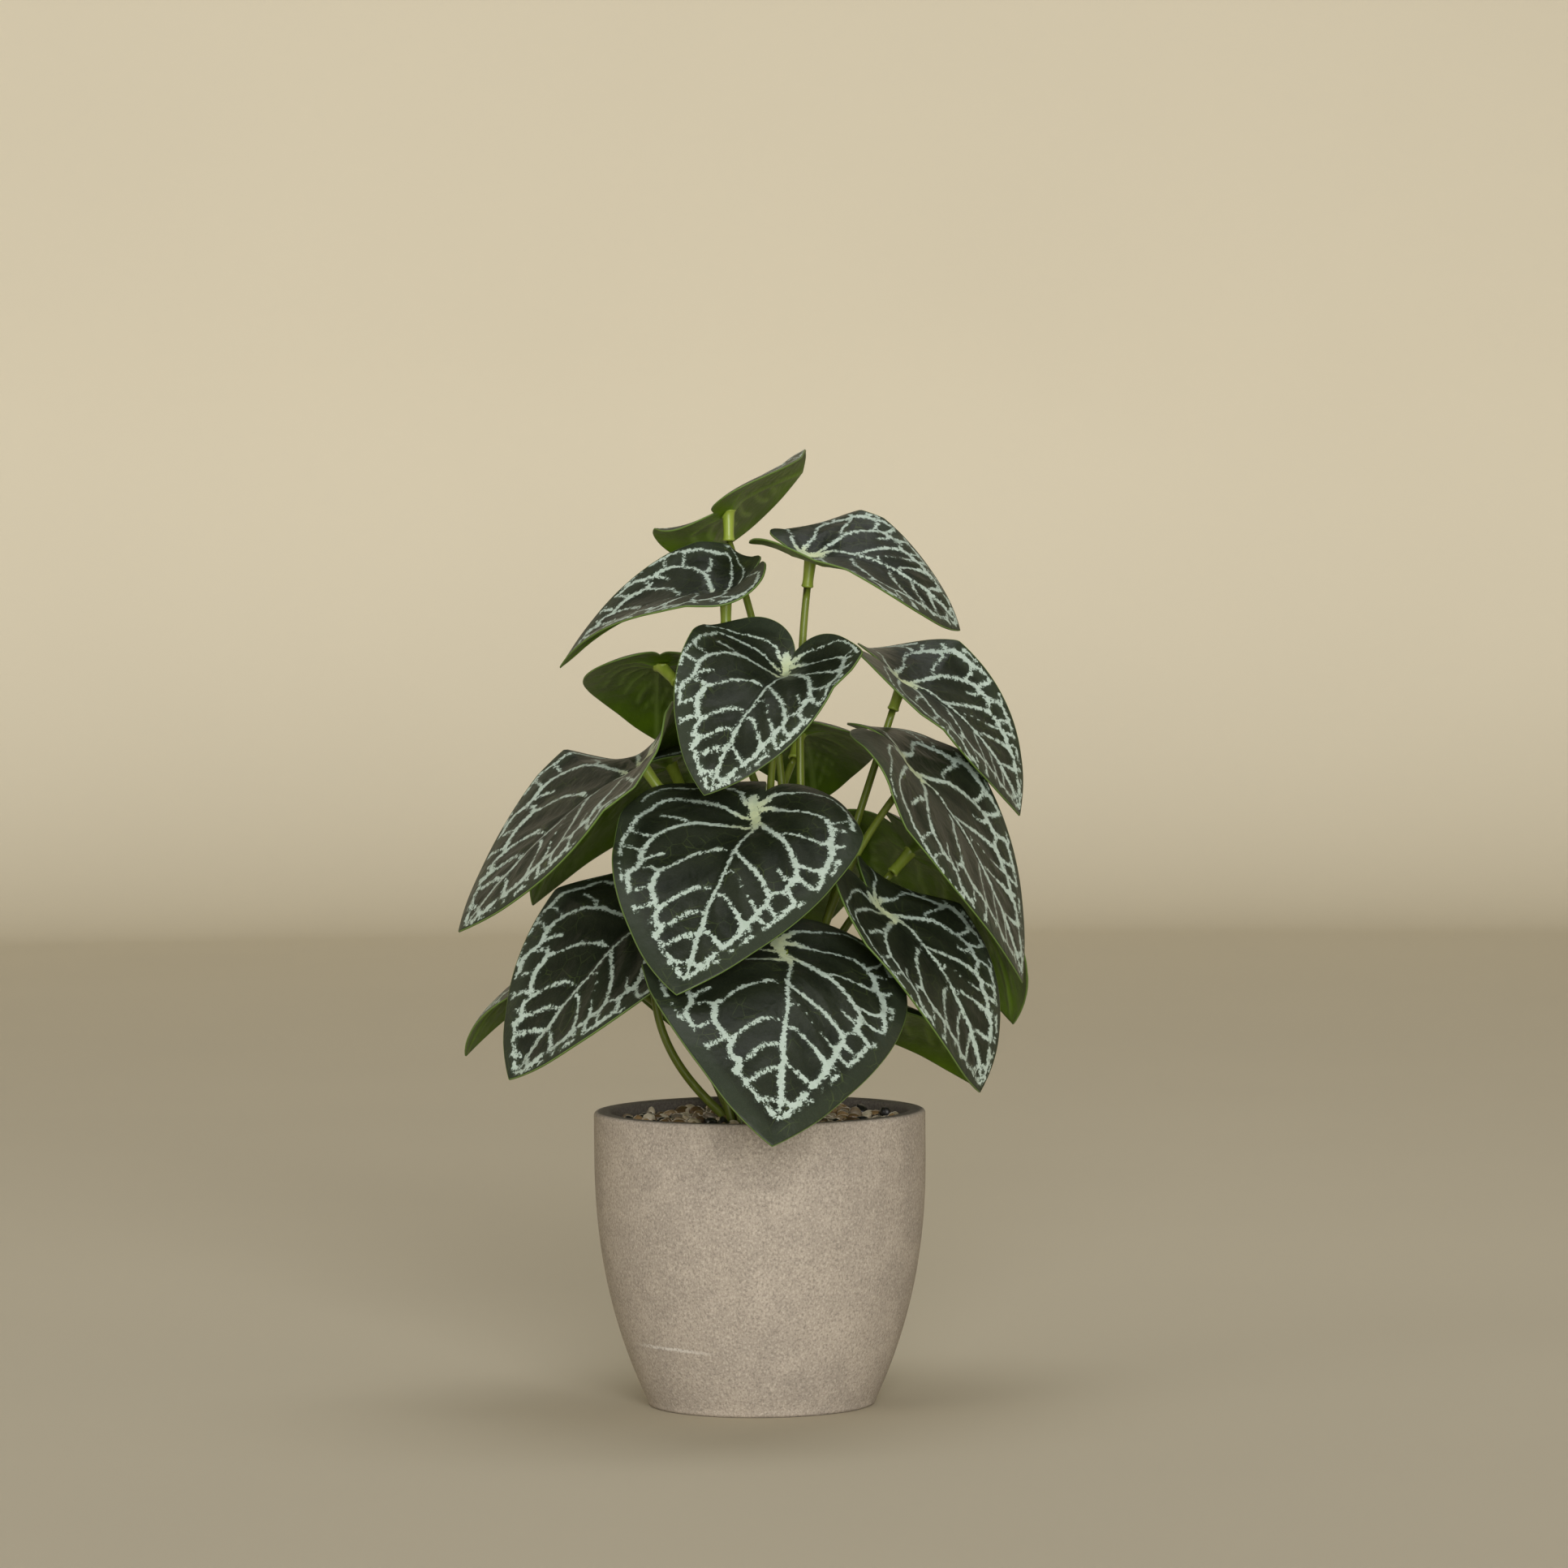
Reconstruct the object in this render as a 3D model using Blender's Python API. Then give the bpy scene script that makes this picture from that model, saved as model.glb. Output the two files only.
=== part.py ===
"""Potted silver-veined anthurium, an artificial house plant: 20 heart-shaped leaves on thin stalks, which
stand in gravel over a filler plug in a round concrete-look pot. Origin: centre of the pot's foot, +Z up.
The photograph's view looks along +Y, so -Y is the front.
"""

import math

import bmesh
import bpy
import numpy as np

MM = 0.001
GAP = 0.3 * MM
UP = np.array([0, 0, 1.0])

# Pot: a turned cup, nearly upright at the rim and drawn in towards the foot
POT_HEIGHT = 121 * MM
POT_RADIUS = 68 * MM
FOOT_RADIUS = 46 * MM
BODY_HEIGHT = 105 * MM
BODY_POWER = 2.3
POT_WALL = 7.3 * MM
POT_FLOOR = 9 * MM
RIM_ROUND = 1.5 * MM
FOOT_ROUND = 2.0 * MM
POT_SIDES = 36
POT_STEPS = 7
FLOOR_FILLET = 2 * MM

# Filler plug and gravel
FILLER_TOP = 106 * MM
BED_TOP = 112 * MM
PEBBLE_COUNT = 44
PEBBLE_RADIUS = 6.6 * MM
PEBBLE_STRETCH = np.array([1.15, 0.95, 0.62])
PEBBLE_SEED = 11

# Stalks: a stem that tapers upwards, then a wider sleeve under the blade
STEM_FOOT_RADIUS = 1.9 * MM
STEM_TOP_RADIUS = 1.5 * MM
SLEEVE_FOOT_RADIUS = 2.2 * MM
SLEEVE_TOP_RADIUS = 2.6 * MM
SLEEVE_LENGTH = 13 * MM
STALK_SIDES = 6
STALK_STEPS = 9
SLEEVE_STEP = 0.4 * MM
FOOT_SHARE = 0.35
TOP_SHARE = 0.33
ROOT_DEPTH = 12 * MM
ROOT_RISE = 5 * MM
HOLE_CLEARANCE = 0.45 * MM
ROOT_RINGS = ((7, 6.6 * MM), (13, 12.8 * MM))

# Blades: a polar grid about the point where the stalk joins, bent into place
BLADE_THICKNESS = 0.8 * MM
SPOKES = 24
RINGS = 4
DIMPLE_WIDTH = 0.15
HALF_WIDTH = 0.5
CREASE_SHARE = 0.3
BEND_LATENESS = 1.6
LOBE_REACH = 0.4
LOBE_FROM = 0.15
END_FROM = 0.3
STRAIGHT = 1e-5
MIDRIB_SAMPLES = 81
MIDRIB_START = -0.45

# Outline of the flat blade: angle from the tip in degrees, radius over the blade's length
OUTLINE = (
    (0, 1.0),
    (9, 0.905),
    (22, 0.775),
    (40, 0.655),
    (60, 0.575),
    (80, 0.535),
    (100, 0.505),
    (120, 0.465),
    (138, 0.41),
    (153, 0.335),
    (166, 0.245),
    (175, 0.175),
    (180, 0.145),
)


def leaf(
    base,
    tip,
    roll=0,
    arch=50,
    lobes=20,
    left=25,
    right=25,
    lobe=(0, 0),
    end=(0, 0),
    dimple=0.06,
    lean=20,
    splay=15,
    bow=(0, 0),
):
    """One leaf's pose. base and tip are in millimetres: where the stalk joins, and the blade's point.

    Angles are in degrees. roll lifts the left half, seen from above with the tip pointing away. arch is how
    far the midrib turns down from base to tip, and lobes how far the rear lobes turn down behind the base.
    left and right are the droops of the two halves, lobe adds to them at the rear and end at the tip.
    dimple is the depth of the hollow over the stalk, in parts of the length. lean tips the stalk's top out
    from the pot's axis, splay tips its foot out, and bow shifts its middle sideways in millimetres.
    """
    return {
        "base": np.array(base, float) * MM,
        "tip": np.array(tip, float) * MM,
        "roll": math.radians(roll),
        "arch": math.radians(arch),
        "lobes": math.radians(lobes),
        "droop": (math.radians(left), math.radians(right)),
        "lobe": (math.radians(lobe[0]), math.radians(lobe[1])),
        "end": (math.radians(end[0]), math.radians(end[1])),
        "dimple": dimple,
        "lean": math.radians(lean),
        "splay": math.radians(splay),
        "bow": np.array([*bow, 0]) * MM,
    }


# From the top of the plant down, front leaves first and rear leaves after
LEAVES = {
    "01": leaf(
        (-11, 45, 367), (22, 101, 381), roll=-53, left=-3, right=39, arch=8, lobes=0, lobe=(-70, 0),
        end=(20, -20), dimple=0.04, lean=5, bow=(26, -18),
    ),
    "02": leaf(
        (23, -2, 348), (80, -1, 316), roll=40, left=10, right=-45, arch=65, lobes=0, lobe=(35, -20),
        end=(40, 30), lean=7,
    ),
    "03": leaf(
        (-12, 2, 332), (-77, 10, 300), roll=5, left=20, right=-55, arch=40, lobes=-60, lobe=(15, 25),
        end=(-5, 10), lean=0,
    ),
    "04": leaf(
        (12, -25, 301), (-19, -65, 252), roll=-20, left=-30, right=-25, arch=50, lobes=-60,
        lobe=(-10, 25), end=(60, 5), dimple=0.07,
    ),
    "05": leaf(
        (61, 45, 295), (107, 50, 238), roll=10, left=-50, right=10, arch=45, lobes=0, lobe=(60, -10),
        end=(0, 35), dimple=0.03, lean=25, bow=(2, 4),
    ),
    "06": leaf(
        (63, -10, 261), (105, -6, 172), roll=5, left=-35, right=30, arch=25, lobes=60, lobe=(45, -15),
        end=(-5, 5), dimple=0.03, lean=30, bow=(-8, 6),
    ),
    "07": leaf(
        (-47, -10, 264), (-119, -25, 195), roll=-5, left=-5, right=-15, arch=20, lobes=-60,
        lobe=(-25, 80), end=(40, 15), dimple=0.03, lean=35,
    ),
    "08": leaf(
        (-1, -45, 243), (-29, -104, 173), roll=10, left=40, right=-30, arch=15, lobes=65, lobe=(10, 25),
        end=(15, -50), lean=38, splay=0,
    ),
    "09": leaf(
        (-45, -7, 204), (-100, -22, 135), roll=-30, left=-10, right=0, arch=15, lobes=0, lobe=(0, 45),
        end=(-15, 0), dimple=0.03, lean=10, splay=40, bow=(-7, 0),
    ),
    "10": leaf(
        (9, -66, 191), (5, -140, 118), roll=-10, left=25, right=10, arch=35, lobes=30, lobe=(0, 75),
        end=(0, -25), dimple=0.03,
    ),
    "11": leaf(
        (51, -33, 204), (87, -38, 131), roll=25, left=0, right=-15, arch=50, lobes=-15, lobe=(45, -15),
        end=(-5, 5), dimple=0.03, lean=35,
    ),
    "12": leaf((-40, 38, 303), (-42, 88, 268), lean=57, splay=2, bow=(18, 5)),
    "13": leaf((18, 50, 274), (24, 100, 240), lean=35, splay=0, bow=(-8, 0)),
    "14": leaf(
        (-36, 42, 262), (-90, 60, 201), roll=10, lobes=60, lean=35, splay=30, bow=(-12, -12),
    ),
    "15": leaf((64, 40, 225), (102, 64, 150), left=25, right=25, lean=45, splay=30, bow=(-6, 4)),
    "16": leaf((90, 101, 196), (107, 112, 151), lean=54, splay=42, bow=(-7, 10)),
    "17": leaf((0, 68, 222), (0, 126, 164), lean=50, splay=0),
    "18": leaf((53, 11, 161), (87, 52, 124), lean=23, splay=1, bow=(11, 11)),
    "19": leaf((-74, 32, 183), (-119, 47, 139), lean=60, splay=35, bow=(6, 0)),
    "20": leaf((-27, 52, 184), (-29, 98, 141)),
}


def principled(name, color, roughness):
    """A plain material in one colour."""
    material = bpy.data.materials.new(name)
    material.use_nodes = True
    shader = material.node_tree.nodes["Principled BSDF"]
    shader.inputs["Base Color"].default_value = (*color, 1.0)
    shader.inputs["Roughness"].default_value = roughness
    shader.inputs["Metallic"].default_value = 0.0
    return material


def new_object(name, points, faces, material):
    mesh = bpy.data.meshes.new(name)
    mesh.from_pydata([tuple(point) for point in points], [], [tuple(face) for face in faces])
    mesh.materials.append(material)
    mesh.shade_smooth()
    mesh.set_sharp_from_angle(angle=math.radians(45))
    made = bpy.data.objects.new(name, mesh)
    bpy.context.scene.collection.objects.link(made)
    return made


def unit(vector):
    return vector / np.linalg.norm(vector)


def through_points(x, stations):
    """Cubic Hermite curve through (x, y) stations, with each slope taken from the two neighbours."""
    xs, ys = (np.array(column, float) for column in zip(*stations))
    slope = np.gradient(ys, xs)
    slope[1:-1] = (ys[2:] - ys[:-2]) / (xs[2:] - xs[:-2])
    i = np.clip(np.searchsorted(xs, x) - 1, 0, len(xs) - 2)
    span = xs[i + 1] - xs[i]
    t = (x - xs[i]) / span
    return (
        (1 + 2 * t) * (1 - t) ** 2 * ys[i]
        + t * (1 - t) ** 2 * span * slope[i]
        + t**2 * (3 - 2 * t) * ys[i + 1]
        - t**2 * (1 - t) * span * slope[i + 1]
    )


def midrib(pose):
    """The midrib in its upright plane, for a length of 1: stations, places ahead and up, slopes, chord."""
    s = np.linspace(MIDRIB_START, 1.0, MIDRIB_SAMPLES)
    turned = np.where(
        s > 0,
        -pose["arch"] * np.maximum(s, 0) ** BEND_LATENESS,
        pose["lobes"] * np.maximum(-s, 0) / LOBE_REACH,
    )
    step = s[1] - s[0]
    ahead = np.concatenate([[0], np.cumsum((np.cos(turned[1:]) + np.cos(turned[:-1])) / 2) * step])
    up = np.concatenate([[0], np.cumsum((np.sin(turned[1:]) + np.sin(turned[:-1])) / 2) * step])
    ahead -= np.interp(0, s, ahead)
    up -= np.interp(0, s, up)
    chord = math.hypot(ahead[-1], up[-1])
    tilt = -math.atan2(up[-1], ahead[-1])
    return (
        s,
        ahead * math.cos(tilt) - up * math.sin(tilt),
        ahead * math.sin(tilt) + up * math.cos(tilt),
        turned + tilt,
        chord,
    )


def leaf_frame(pose):
    """Unit vectors along the chord from base to tip, to the left, and out of the upper face."""
    along = unit(pose["tip"] - pose["base"])
    upward = unit(np.array([0, 0, 1.0]) - along[2] * along)
    leftward = np.cross(upward, along)
    c, s = math.cos(pose["roll"]), math.sin(pose["roll"])
    return along, leftward * c + upward * s, upward * c - leftward * s


def bend(pose, along, across):
    """World points of flat blade points, given along and across the midrib in parts of the length.

    Each half curls down across the midrib by its droop, then the midrib's own arch carries it.
    """
    ahead, leftward, outward = leaf_frame(pose)
    s, rib_ahead, rib_up, rib_slope, chord = midrib(pose)
    length = np.linalg.norm(pose["tip"] - pose["base"]) / chord
    rear = np.clip((LOBE_FROM - along) / LOBE_REACH, 0, 1)
    fore = np.clip((along - END_FROM) / (1 - END_FROM), 0, 1)
    side = np.zeros_like(across)
    rise = np.zeros_like(across)
    for half, sign in enumerate((1, -1)):
        reach = np.clip(across * sign, 0, None)
        droop = pose["droop"][half] + pose["lobe"][half] * rear + pose["end"][half] * fore
        first = droop * CREASE_SHARE
        rate = droop * (1 - CREASE_SHARE) / HALF_WIDTH
        rate = np.where(np.abs(rate) < STRAIGHT, STRAIGHT, rate)
        side += sign * (np.sin(first + rate * reach) - np.sin(first)) / rate
        rise -= (np.cos(first) - np.cos(first + rate * reach)) / rate
    rise += pose["dimple"] * (1 - np.exp(-(along**2 + across**2) / DIMPLE_WIDTH**2))
    x = np.interp(along, s, rib_ahead)
    z = np.interp(along, s, rib_up)
    slope = np.interp(along, s, rib_slope)
    x = x - rise * np.sin(slope)
    z = z + rise * np.cos(slope)
    return pose["base"] + length * (
        x[..., None] * ahead + side[..., None] * leftward + z[..., None] * outward
    )


def blade_grid(pose):
    """Mid-surface points of a blade, the centre first and then ring by ring, and one face's triangles."""
    angle = np.arange(SPOKES) / SPOKES * 2 * np.pi
    angle = (angle + np.pi) % (2 * np.pi) - np.pi
    radius = through_points(np.degrees(np.abs(angle)), OUTLINE)
    share = (np.arange(RINGS) + 1)[:, None] / RINGS
    along = np.concatenate([[0], (share * radius * np.cos(angle)).ravel()])
    across = np.concatenate([[0], (share * radius * np.sin(angle)).ravel()])
    points = bend(pose, along, across)
    faces = []
    for k in range(SPOKES):
        n = (k + 1) % SPOKES
        faces.append((0, 1 + k, 1 + n))
        for ring in range(RINGS - 1):
            a = 1 + ring * SPOKES + k
            b = 1 + ring * SPOKES + n
            faces.append((a, a + SPOKES, b + SPOKES))
            faces.append((a, b + SPOKES, b))
    return points, np.array(faces)


def point_normals(points, faces):
    a, b, c = (points[faces[:, i]] for i in range(3))
    cross = np.cross(b - a, c - a)
    normals = np.zeros_like(points)
    for i in range(3):
        np.add.at(normals, faces[:, i], cross)
    return normals / np.linalg.norm(normals, axis=1)[:, None]


def make_blade(name, pose, material):
    """A thin solid: the bent grid set off to both sides, with both faces split alike, and a rim between."""
    points, faces = blade_grid(pose)
    normals = point_normals(points, faces)
    count = len(points)
    upper = points + normals * BLADE_THICKNESS / 2
    lower = points - normals * BLADE_THICKNESS / 2
    rim = 1 + (RINGS - 1) * SPOKES + np.arange(SPOKES)
    ahead = np.roll(rim, -1)
    sides = [(a, a + count, b + count) for a, b in zip(rim, ahead)]
    sides += [(a, b + count, b) for a, b in zip(rim, ahead)]
    both = list(map(tuple, faces)) + [tuple(face[::-1] + count) for face in faces] + sides
    return new_object(name, np.concatenate([upper, lower]), both, material)


def root_places():
    """Where the stems stand in the gravel: two rings about the pot's axis."""
    places = []
    for count, radius in ROOT_RINGS:
        for k in range(count):
            turn = 2 * math.pi * (k + 0.5) / count
            places.append(np.array([radius * math.cos(turn), radius * math.sin(turn)]))
    return places


def share_roots():
    """Gives each leaf the free root place that lies nearest its own direction, the lowest leaves first."""
    free = root_places()
    taken = {}
    for key in sorted(LEAVES, key=lambda k: LEAVES[k]["base"][2]):
        out = unit(LEAVES[key]["base"][:2])
        best = max(range(len(free)), key=lambda i: free[i] @ out)
        taken[key] = free.pop(best)
    return taken


def stalk_path(pose, root):
    """Centres, headings and radii of a stalk's rings, from its foot in the filler up to the blade."""
    foot = np.array([*root, BED_TOP + ROOT_RISE])
    top = pose["base"]
    outward = unit(np.array([*(top[:2] - root), 0]))
    heading = math.cos(pose["lean"]) * UP + math.sin(pose["lean"]) * outward
    leaving = math.cos(pose["splay"]) * UP + math.sin(pose["splay"]) * outward
    reach = np.linalg.norm(top - foot)
    sleeve_foot = top - heading * SLEEVE_LENGTH
    first = foot + leaving * FOOT_SHARE * reach + pose["bow"]
    second = sleeve_foot - heading * TOP_SHARE * reach + pose["bow"]
    t = np.linspace(0, 1, STALK_STEPS)[:, None]
    curve = (
        (1 - t) ** 3 * foot
        + 3 * t * (1 - t) ** 2 * first
        + 3 * t**2 * (1 - t) * second
        + t**3 * sleeve_foot
    )
    buried = np.array([*root, BED_TOP - ROOT_DEPTH])
    centres = np.concatenate([[buried], curve, [sleeve_foot + heading * SLEEVE_STEP]])
    stem = np.interp(np.arange(STALK_STEPS + 1), [0, STALK_STEPS], [STEM_FOOT_RADIUS, STEM_TOP_RADIUS])
    radii = np.concatenate([stem, [SLEEVE_FOOT_RADIUS]])
    headings = np.gradient(centres, axis=0)
    headings[0] = headings[1] = UP
    headings[-2:] = heading
    return centres, headings, radii


def make_stalk(name, pose, root, material):
    """A tube of six sides from the filler to the blade, its top ring cut to lie under the blade."""
    centres, headings, radii = stalk_path(pose, root)
    blade_points, faces = blade_grid(pose)
    normals = point_normals(blade_points, faces)
    hub = blade_points[0]
    spokes = blade_points[1 + np.arange(STALK_SIDES) * (SPOKES // STALK_SIDES)] - hub
    drop = normals[0] * (BLADE_THICKNESS / 2 + GAP)
    top = hub + SLEEVE_TOP_RADIUS * spokes / np.linalg.norm(spokes, axis=1)[:, None] - drop
    ahead = spokes[0]
    points = []
    for centre, heading, radius in zip(centres, headings, radii):
        heading = unit(heading)
        side = unit(np.cross(heading, ahead))
        forth = np.cross(side, heading)
        turn = np.arange(STALK_SIDES) / STALK_SIDES * 2 * np.pi
        ring = centre + radius * (np.cos(turn)[:, None] * forth + np.sin(turn)[:, None] * side)
        points.append(ring)
    points.append(top)
    rings = len(points)
    points = np.concatenate(points + [[centres[0]], [hub - drop]])
    last = rings * STALK_SIDES
    mesh_faces = []
    for k in range(STALK_SIDES):
        n = (k + 1) % STALK_SIDES
        mesh_faces.append((last, n, k))
        mesh_faces.append((last + 1, (rings - 1) * STALK_SIDES + k, (rings - 1) * STALK_SIDES + n))
        for ring in range(rings - 1):
            a, b = ring * STALK_SIDES + k, ring * STALK_SIDES + n
            mesh_faces.append((a, b, b + STALK_SIDES))
            mesh_faces.append((a, b + STALK_SIDES, a + STALK_SIDES))
    return new_object(name, points, mesh_faces, material)


def turned(profile, name, material):
    """A solid of revolution about Z from a closed (radius, height) profile whose ends lie on the axis."""
    angle = np.arange(POT_SIDES) / POT_SIDES * 2 * np.pi
    rows = [(r, z) for r, z in profile[1:-1]]
    points = [(0, 0, profile[0][1])]
    for r, z in rows:
        points += [(r * math.cos(a), r * math.sin(a), z) for a in angle]
    points.append((0, 0, profile[-1][1]))
    faces = []
    end = len(points) - 1
    for k in range(POT_SIDES):
        n = (k + 1) % POT_SIDES
        faces.append((0, 1 + n, 1 + k))
        for row in range(len(rows) - 1):
            a, b = 1 + row * POT_SIDES + k, 1 + row * POT_SIDES + n
            faces.append((a, b, b + POT_SIDES, a + POT_SIDES))
        faces.append((end, end - POT_SIDES + k, end - POT_SIDES + n))
    return new_object(name, points, faces, material)


def outer_radius(z):
    """Radius of the pot's outside at a height: it draws in towards the foot by a power of the depth."""
    depth = np.clip(1 - z / BODY_HEIGHT, 0, 1)
    return POT_RADIUS - (POT_RADIUS - FOOT_RADIUS) * depth**BODY_POWER


def inner_radius(z):
    return outer_radius(z) - POT_WALL


def make_pot():
    top = POT_HEIGHT - RIM_ROUND
    outside = [(float(outer_radius(z)), z) for z in np.linspace(FOOT_ROUND, top, POT_STEPS)]
    inside = [(float(inner_radius(z)), z) for z in np.linspace(top, POT_FLOOR + FLOOR_FILLET, POT_STEPS)]
    foot = [(0, 0), (FOOT_RADIUS - FOOT_ROUND, 0)]
    rim = [
        (POT_RADIUS - 0.3 * RIM_ROUND, POT_HEIGHT - 0.3 * RIM_ROUND),
        (POT_RADIUS - RIM_ROUND, POT_HEIGHT),
        (POT_RADIUS - POT_WALL + RIM_ROUND, POT_HEIGHT),
    ]
    floor = [(inside[-1][0] - FLOOR_FILLET, POT_FLOOR), (0, POT_FLOOR)]
    material = principled("concrete", (0.38, 0.33, 0.28), 0.85)
    turned(foot + outside + rim + inside + floor, "pot", material)


def prisms(name, places, radius, low, high):
    """Six-sided upright prisms in one mesh, used to cut the stems' holes."""
    points, faces = [], []
    turn = np.arange(STALK_SIDES) / STALK_SIDES * 2 * np.pi
    for x, y in places:
        start = len(points)
        for z in (low, high):
            points += [(x + radius * math.cos(a), y + radius * math.sin(a), z) for a in turn]
        faces.append(tuple(start + STALK_SIDES - 1 - k for k in range(STALK_SIDES)))
        faces.append(tuple(start + STALK_SIDES + k for k in range(STALK_SIDES)))
        for k in range(STALK_SIDES):
            n = (k + 1) % STALK_SIDES
            faces.append((start + k, start + n, start + STALK_SIDES + n, start + STALK_SIDES + k))
    cutter = new_object(name, points, faces, principled(name, (0.5, 0.5, 0.5), 0.5))
    cutter.hide_render = True
    cutter.display_type = "WIRE"
    return cutter


def apply_modifiers(made):
    """Replaces an object's mesh by the mesh that its modifiers give."""
    bpy.context.view_layer.update()
    graph = bpy.context.evaluated_depsgraph_get()
    mesh = bpy.data.meshes.new_from_object(made.evaluated_get(graph))
    made.modifiers.clear()
    made.data = mesh


def cut_holes(made, cutter):
    modifier = made.modifiers.new("holes", "BOOLEAN")
    modifier.operation = "DIFFERENCE"
    modifier.object = cutter
    modifier.solver = "EXACT"
    apply_modifiers(made)


def plug_profile(low, high, clearance):
    """Profile of a plug that fills the pot between two heights."""
    heights = np.linspace(low + FLOOR_FILLET, high, 4)
    wall = [(float(inner_radius(z)) - clearance, z) for z in heights]
    return [(0, low), (wall[0][0] - FLOOR_FILLET, low)] + wall + [(0, high)]


def make_filler(roots):
    material = principled("filler", (0.12, 0.1, 0.08), 0.95)
    filler = turned(plug_profile(POT_FLOOR + GAP, FILLER_TOP, 2 * GAP), "filler", material)
    radius = (STEM_FOOT_RADIUS + HOLE_CLEARANCE) / math.cos(math.pi / STALK_SIDES)
    cutter = prisms("filler_holes", roots, radius, BED_TOP - ROOT_DEPTH - GAP, FILLER_TOP + 5 * MM)
    cut_holes(filler, cutter)
    return cutter


def pebble_places(rng):
    """Places on a sunflower spiral, each moved a little at random."""
    k = np.arange(PEBBLE_COUNT) + 0.5
    radius = np.sqrt(k / PEBBLE_COUNT) * (float(inner_radius(BED_TOP)) - PEBBLE_RADIUS - 1 * MM)
    turn = k * math.pi * (3 - math.sqrt(5))
    shift = rng.uniform(-1, 1, (PEBBLE_COUNT, 2)) * MM
    return np.stack([radius * np.cos(turn), radius * np.sin(turn)], 1) + shift


def make_pebble(place, rng, material):
    """One pebble: a squashed and turned ball of twenty faces, partly sunk in the bed."""
    made = bmesh.new()
    bmesh.ops.create_icosphere(made, subdivisions=1, radius=PEBBLE_RADIUS * rng.uniform(0.8, 1.15))
    ball = np.array([vertex.co for vertex in made.verts])
    faces = [[vertex.index for vertex in face.verts] for face in made.faces]
    made.free()
    turn = rng.uniform(0, math.pi)
    c, s = math.cos(turn), math.sin(turn)
    points = ball * PEBBLE_STRETCH * rng.uniform(0.9, 1.1, 3) @ np.array([[c, s, 0], [-s, c, 0], [0, 0, 1]])
    lift = rng.uniform(-0.3, 1.2) * MM
    return new_object("pebble", points + (*place, BED_TOP + lift), faces, material)


def make_gravel(roots):
    """A bed with pebbles standing out of it, joined into one solid, with a plain hole for each stem."""
    material = principled("gravel", (0.25, 0.2, 0.13), 0.5)
    bed = turned(plug_profile(FILLER_TOP + GAP, BED_TOP, 2 * GAP), "gravel", material)
    rng = np.random.default_rng(PEBBLE_SEED)
    group = bpy.data.collections.new("pebbles")
    bpy.context.scene.collection.children.link(group)
    for place in pebble_places(rng):
        pebble = make_pebble(place, rng, material)
        bpy.context.scene.collection.objects.unlink(pebble)
        group.objects.link(pebble)
    union = bed.modifiers.new("pebbles", "BOOLEAN")
    union.operation = "UNION"
    union.operand_type = "COLLECTION"
    union.collection = group
    union.solver = "EXACT"
    apply_modifiers(bed)
    for pebble in list(group.objects):
        bpy.data.objects.remove(pebble)
    bpy.data.collections.remove(group)
    radius = (STEM_FOOT_RADIUS + HOLE_CLEARANCE) / math.cos(math.pi / STALK_SIDES)
    cutter = prisms("gravel_holes", roots, radius, FILLER_TOP - 5 * MM, BED_TOP + 3 * PEBBLE_RADIUS)
    cut_holes(bed, cutter)
    return cutter


def main():
    for old in list(bpy.data.objects):
        bpy.data.objects.remove(old)
    roots = share_roots()
    make_pot()
    cutters = [make_filler(roots.values()), make_gravel(roots.values())]
    for cutter in cutters:
        bpy.data.objects.remove(cutter)
    blade_material = principled("leaf", (0.02, 0.035, 0.018), 0.4)
    stalk_material = principled("stalk", (0.12, 0.14, 0.02), 0.45)
    for key, pose in LEAVES.items():
        make_blade(f"leaf_{key}_blade", pose, blade_material)
        make_stalk(f"leaf_{key}_stalk", pose, roots[key], stalk_material)


main()
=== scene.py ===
"""Potted silver-veined anthurium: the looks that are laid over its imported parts.

Leaves, stems and the pot are surfaces worked out from short formulas. The silver net on the leaves is a
set of strokes, kept on each blade as a measure of how far inside a stroke a point lies.
"""

import math

import bmesh
import bpy
import numpy as np
from mathutils import Matrix


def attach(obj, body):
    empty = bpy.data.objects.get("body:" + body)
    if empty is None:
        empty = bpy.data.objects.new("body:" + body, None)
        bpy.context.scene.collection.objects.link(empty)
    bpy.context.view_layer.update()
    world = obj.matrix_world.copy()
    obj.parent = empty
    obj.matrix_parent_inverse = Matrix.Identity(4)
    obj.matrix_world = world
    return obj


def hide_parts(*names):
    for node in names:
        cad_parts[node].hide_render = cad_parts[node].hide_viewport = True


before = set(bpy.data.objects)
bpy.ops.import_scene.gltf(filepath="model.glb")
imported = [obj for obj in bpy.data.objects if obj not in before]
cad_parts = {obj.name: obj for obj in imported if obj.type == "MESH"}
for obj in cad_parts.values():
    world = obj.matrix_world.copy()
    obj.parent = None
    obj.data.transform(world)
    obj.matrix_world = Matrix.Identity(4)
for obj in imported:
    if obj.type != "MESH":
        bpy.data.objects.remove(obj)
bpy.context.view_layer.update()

bl_info = {
    "name": "Potted silver-veined anthurium",
    "version": (1, 0, 0),
    "blender": (4, 5, 0),
    "location": "3D View > Sidebar > Plant",
    "description": "Builds the leaves, stems, gravel and pot of an artificial potted plant",
    "category": "Object",
}

MM = 0.001
UP = np.array([0, 0, 1.0])
FRONT_COUNT = 11

# Camera, found from the pot in the photograph: place in metres, turns in degrees, lens in millimetres
CAMERA_PLACE = (0.0112, -2.8, 0.373)
CAMERA_PITCH = 2.42
CAMERA_ROLL = 0.5
CAMERA_LENS = 157.1
SENSOR = 36
PHOTO_SIZE = 1932

# Stage, in metres: a flat round floor, a cove about it and an upright wall
FLOOR_REACH = 3.0
COVE = 0.5
WALL_TOP = 3.2
STAGE_SIDES = 96

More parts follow.
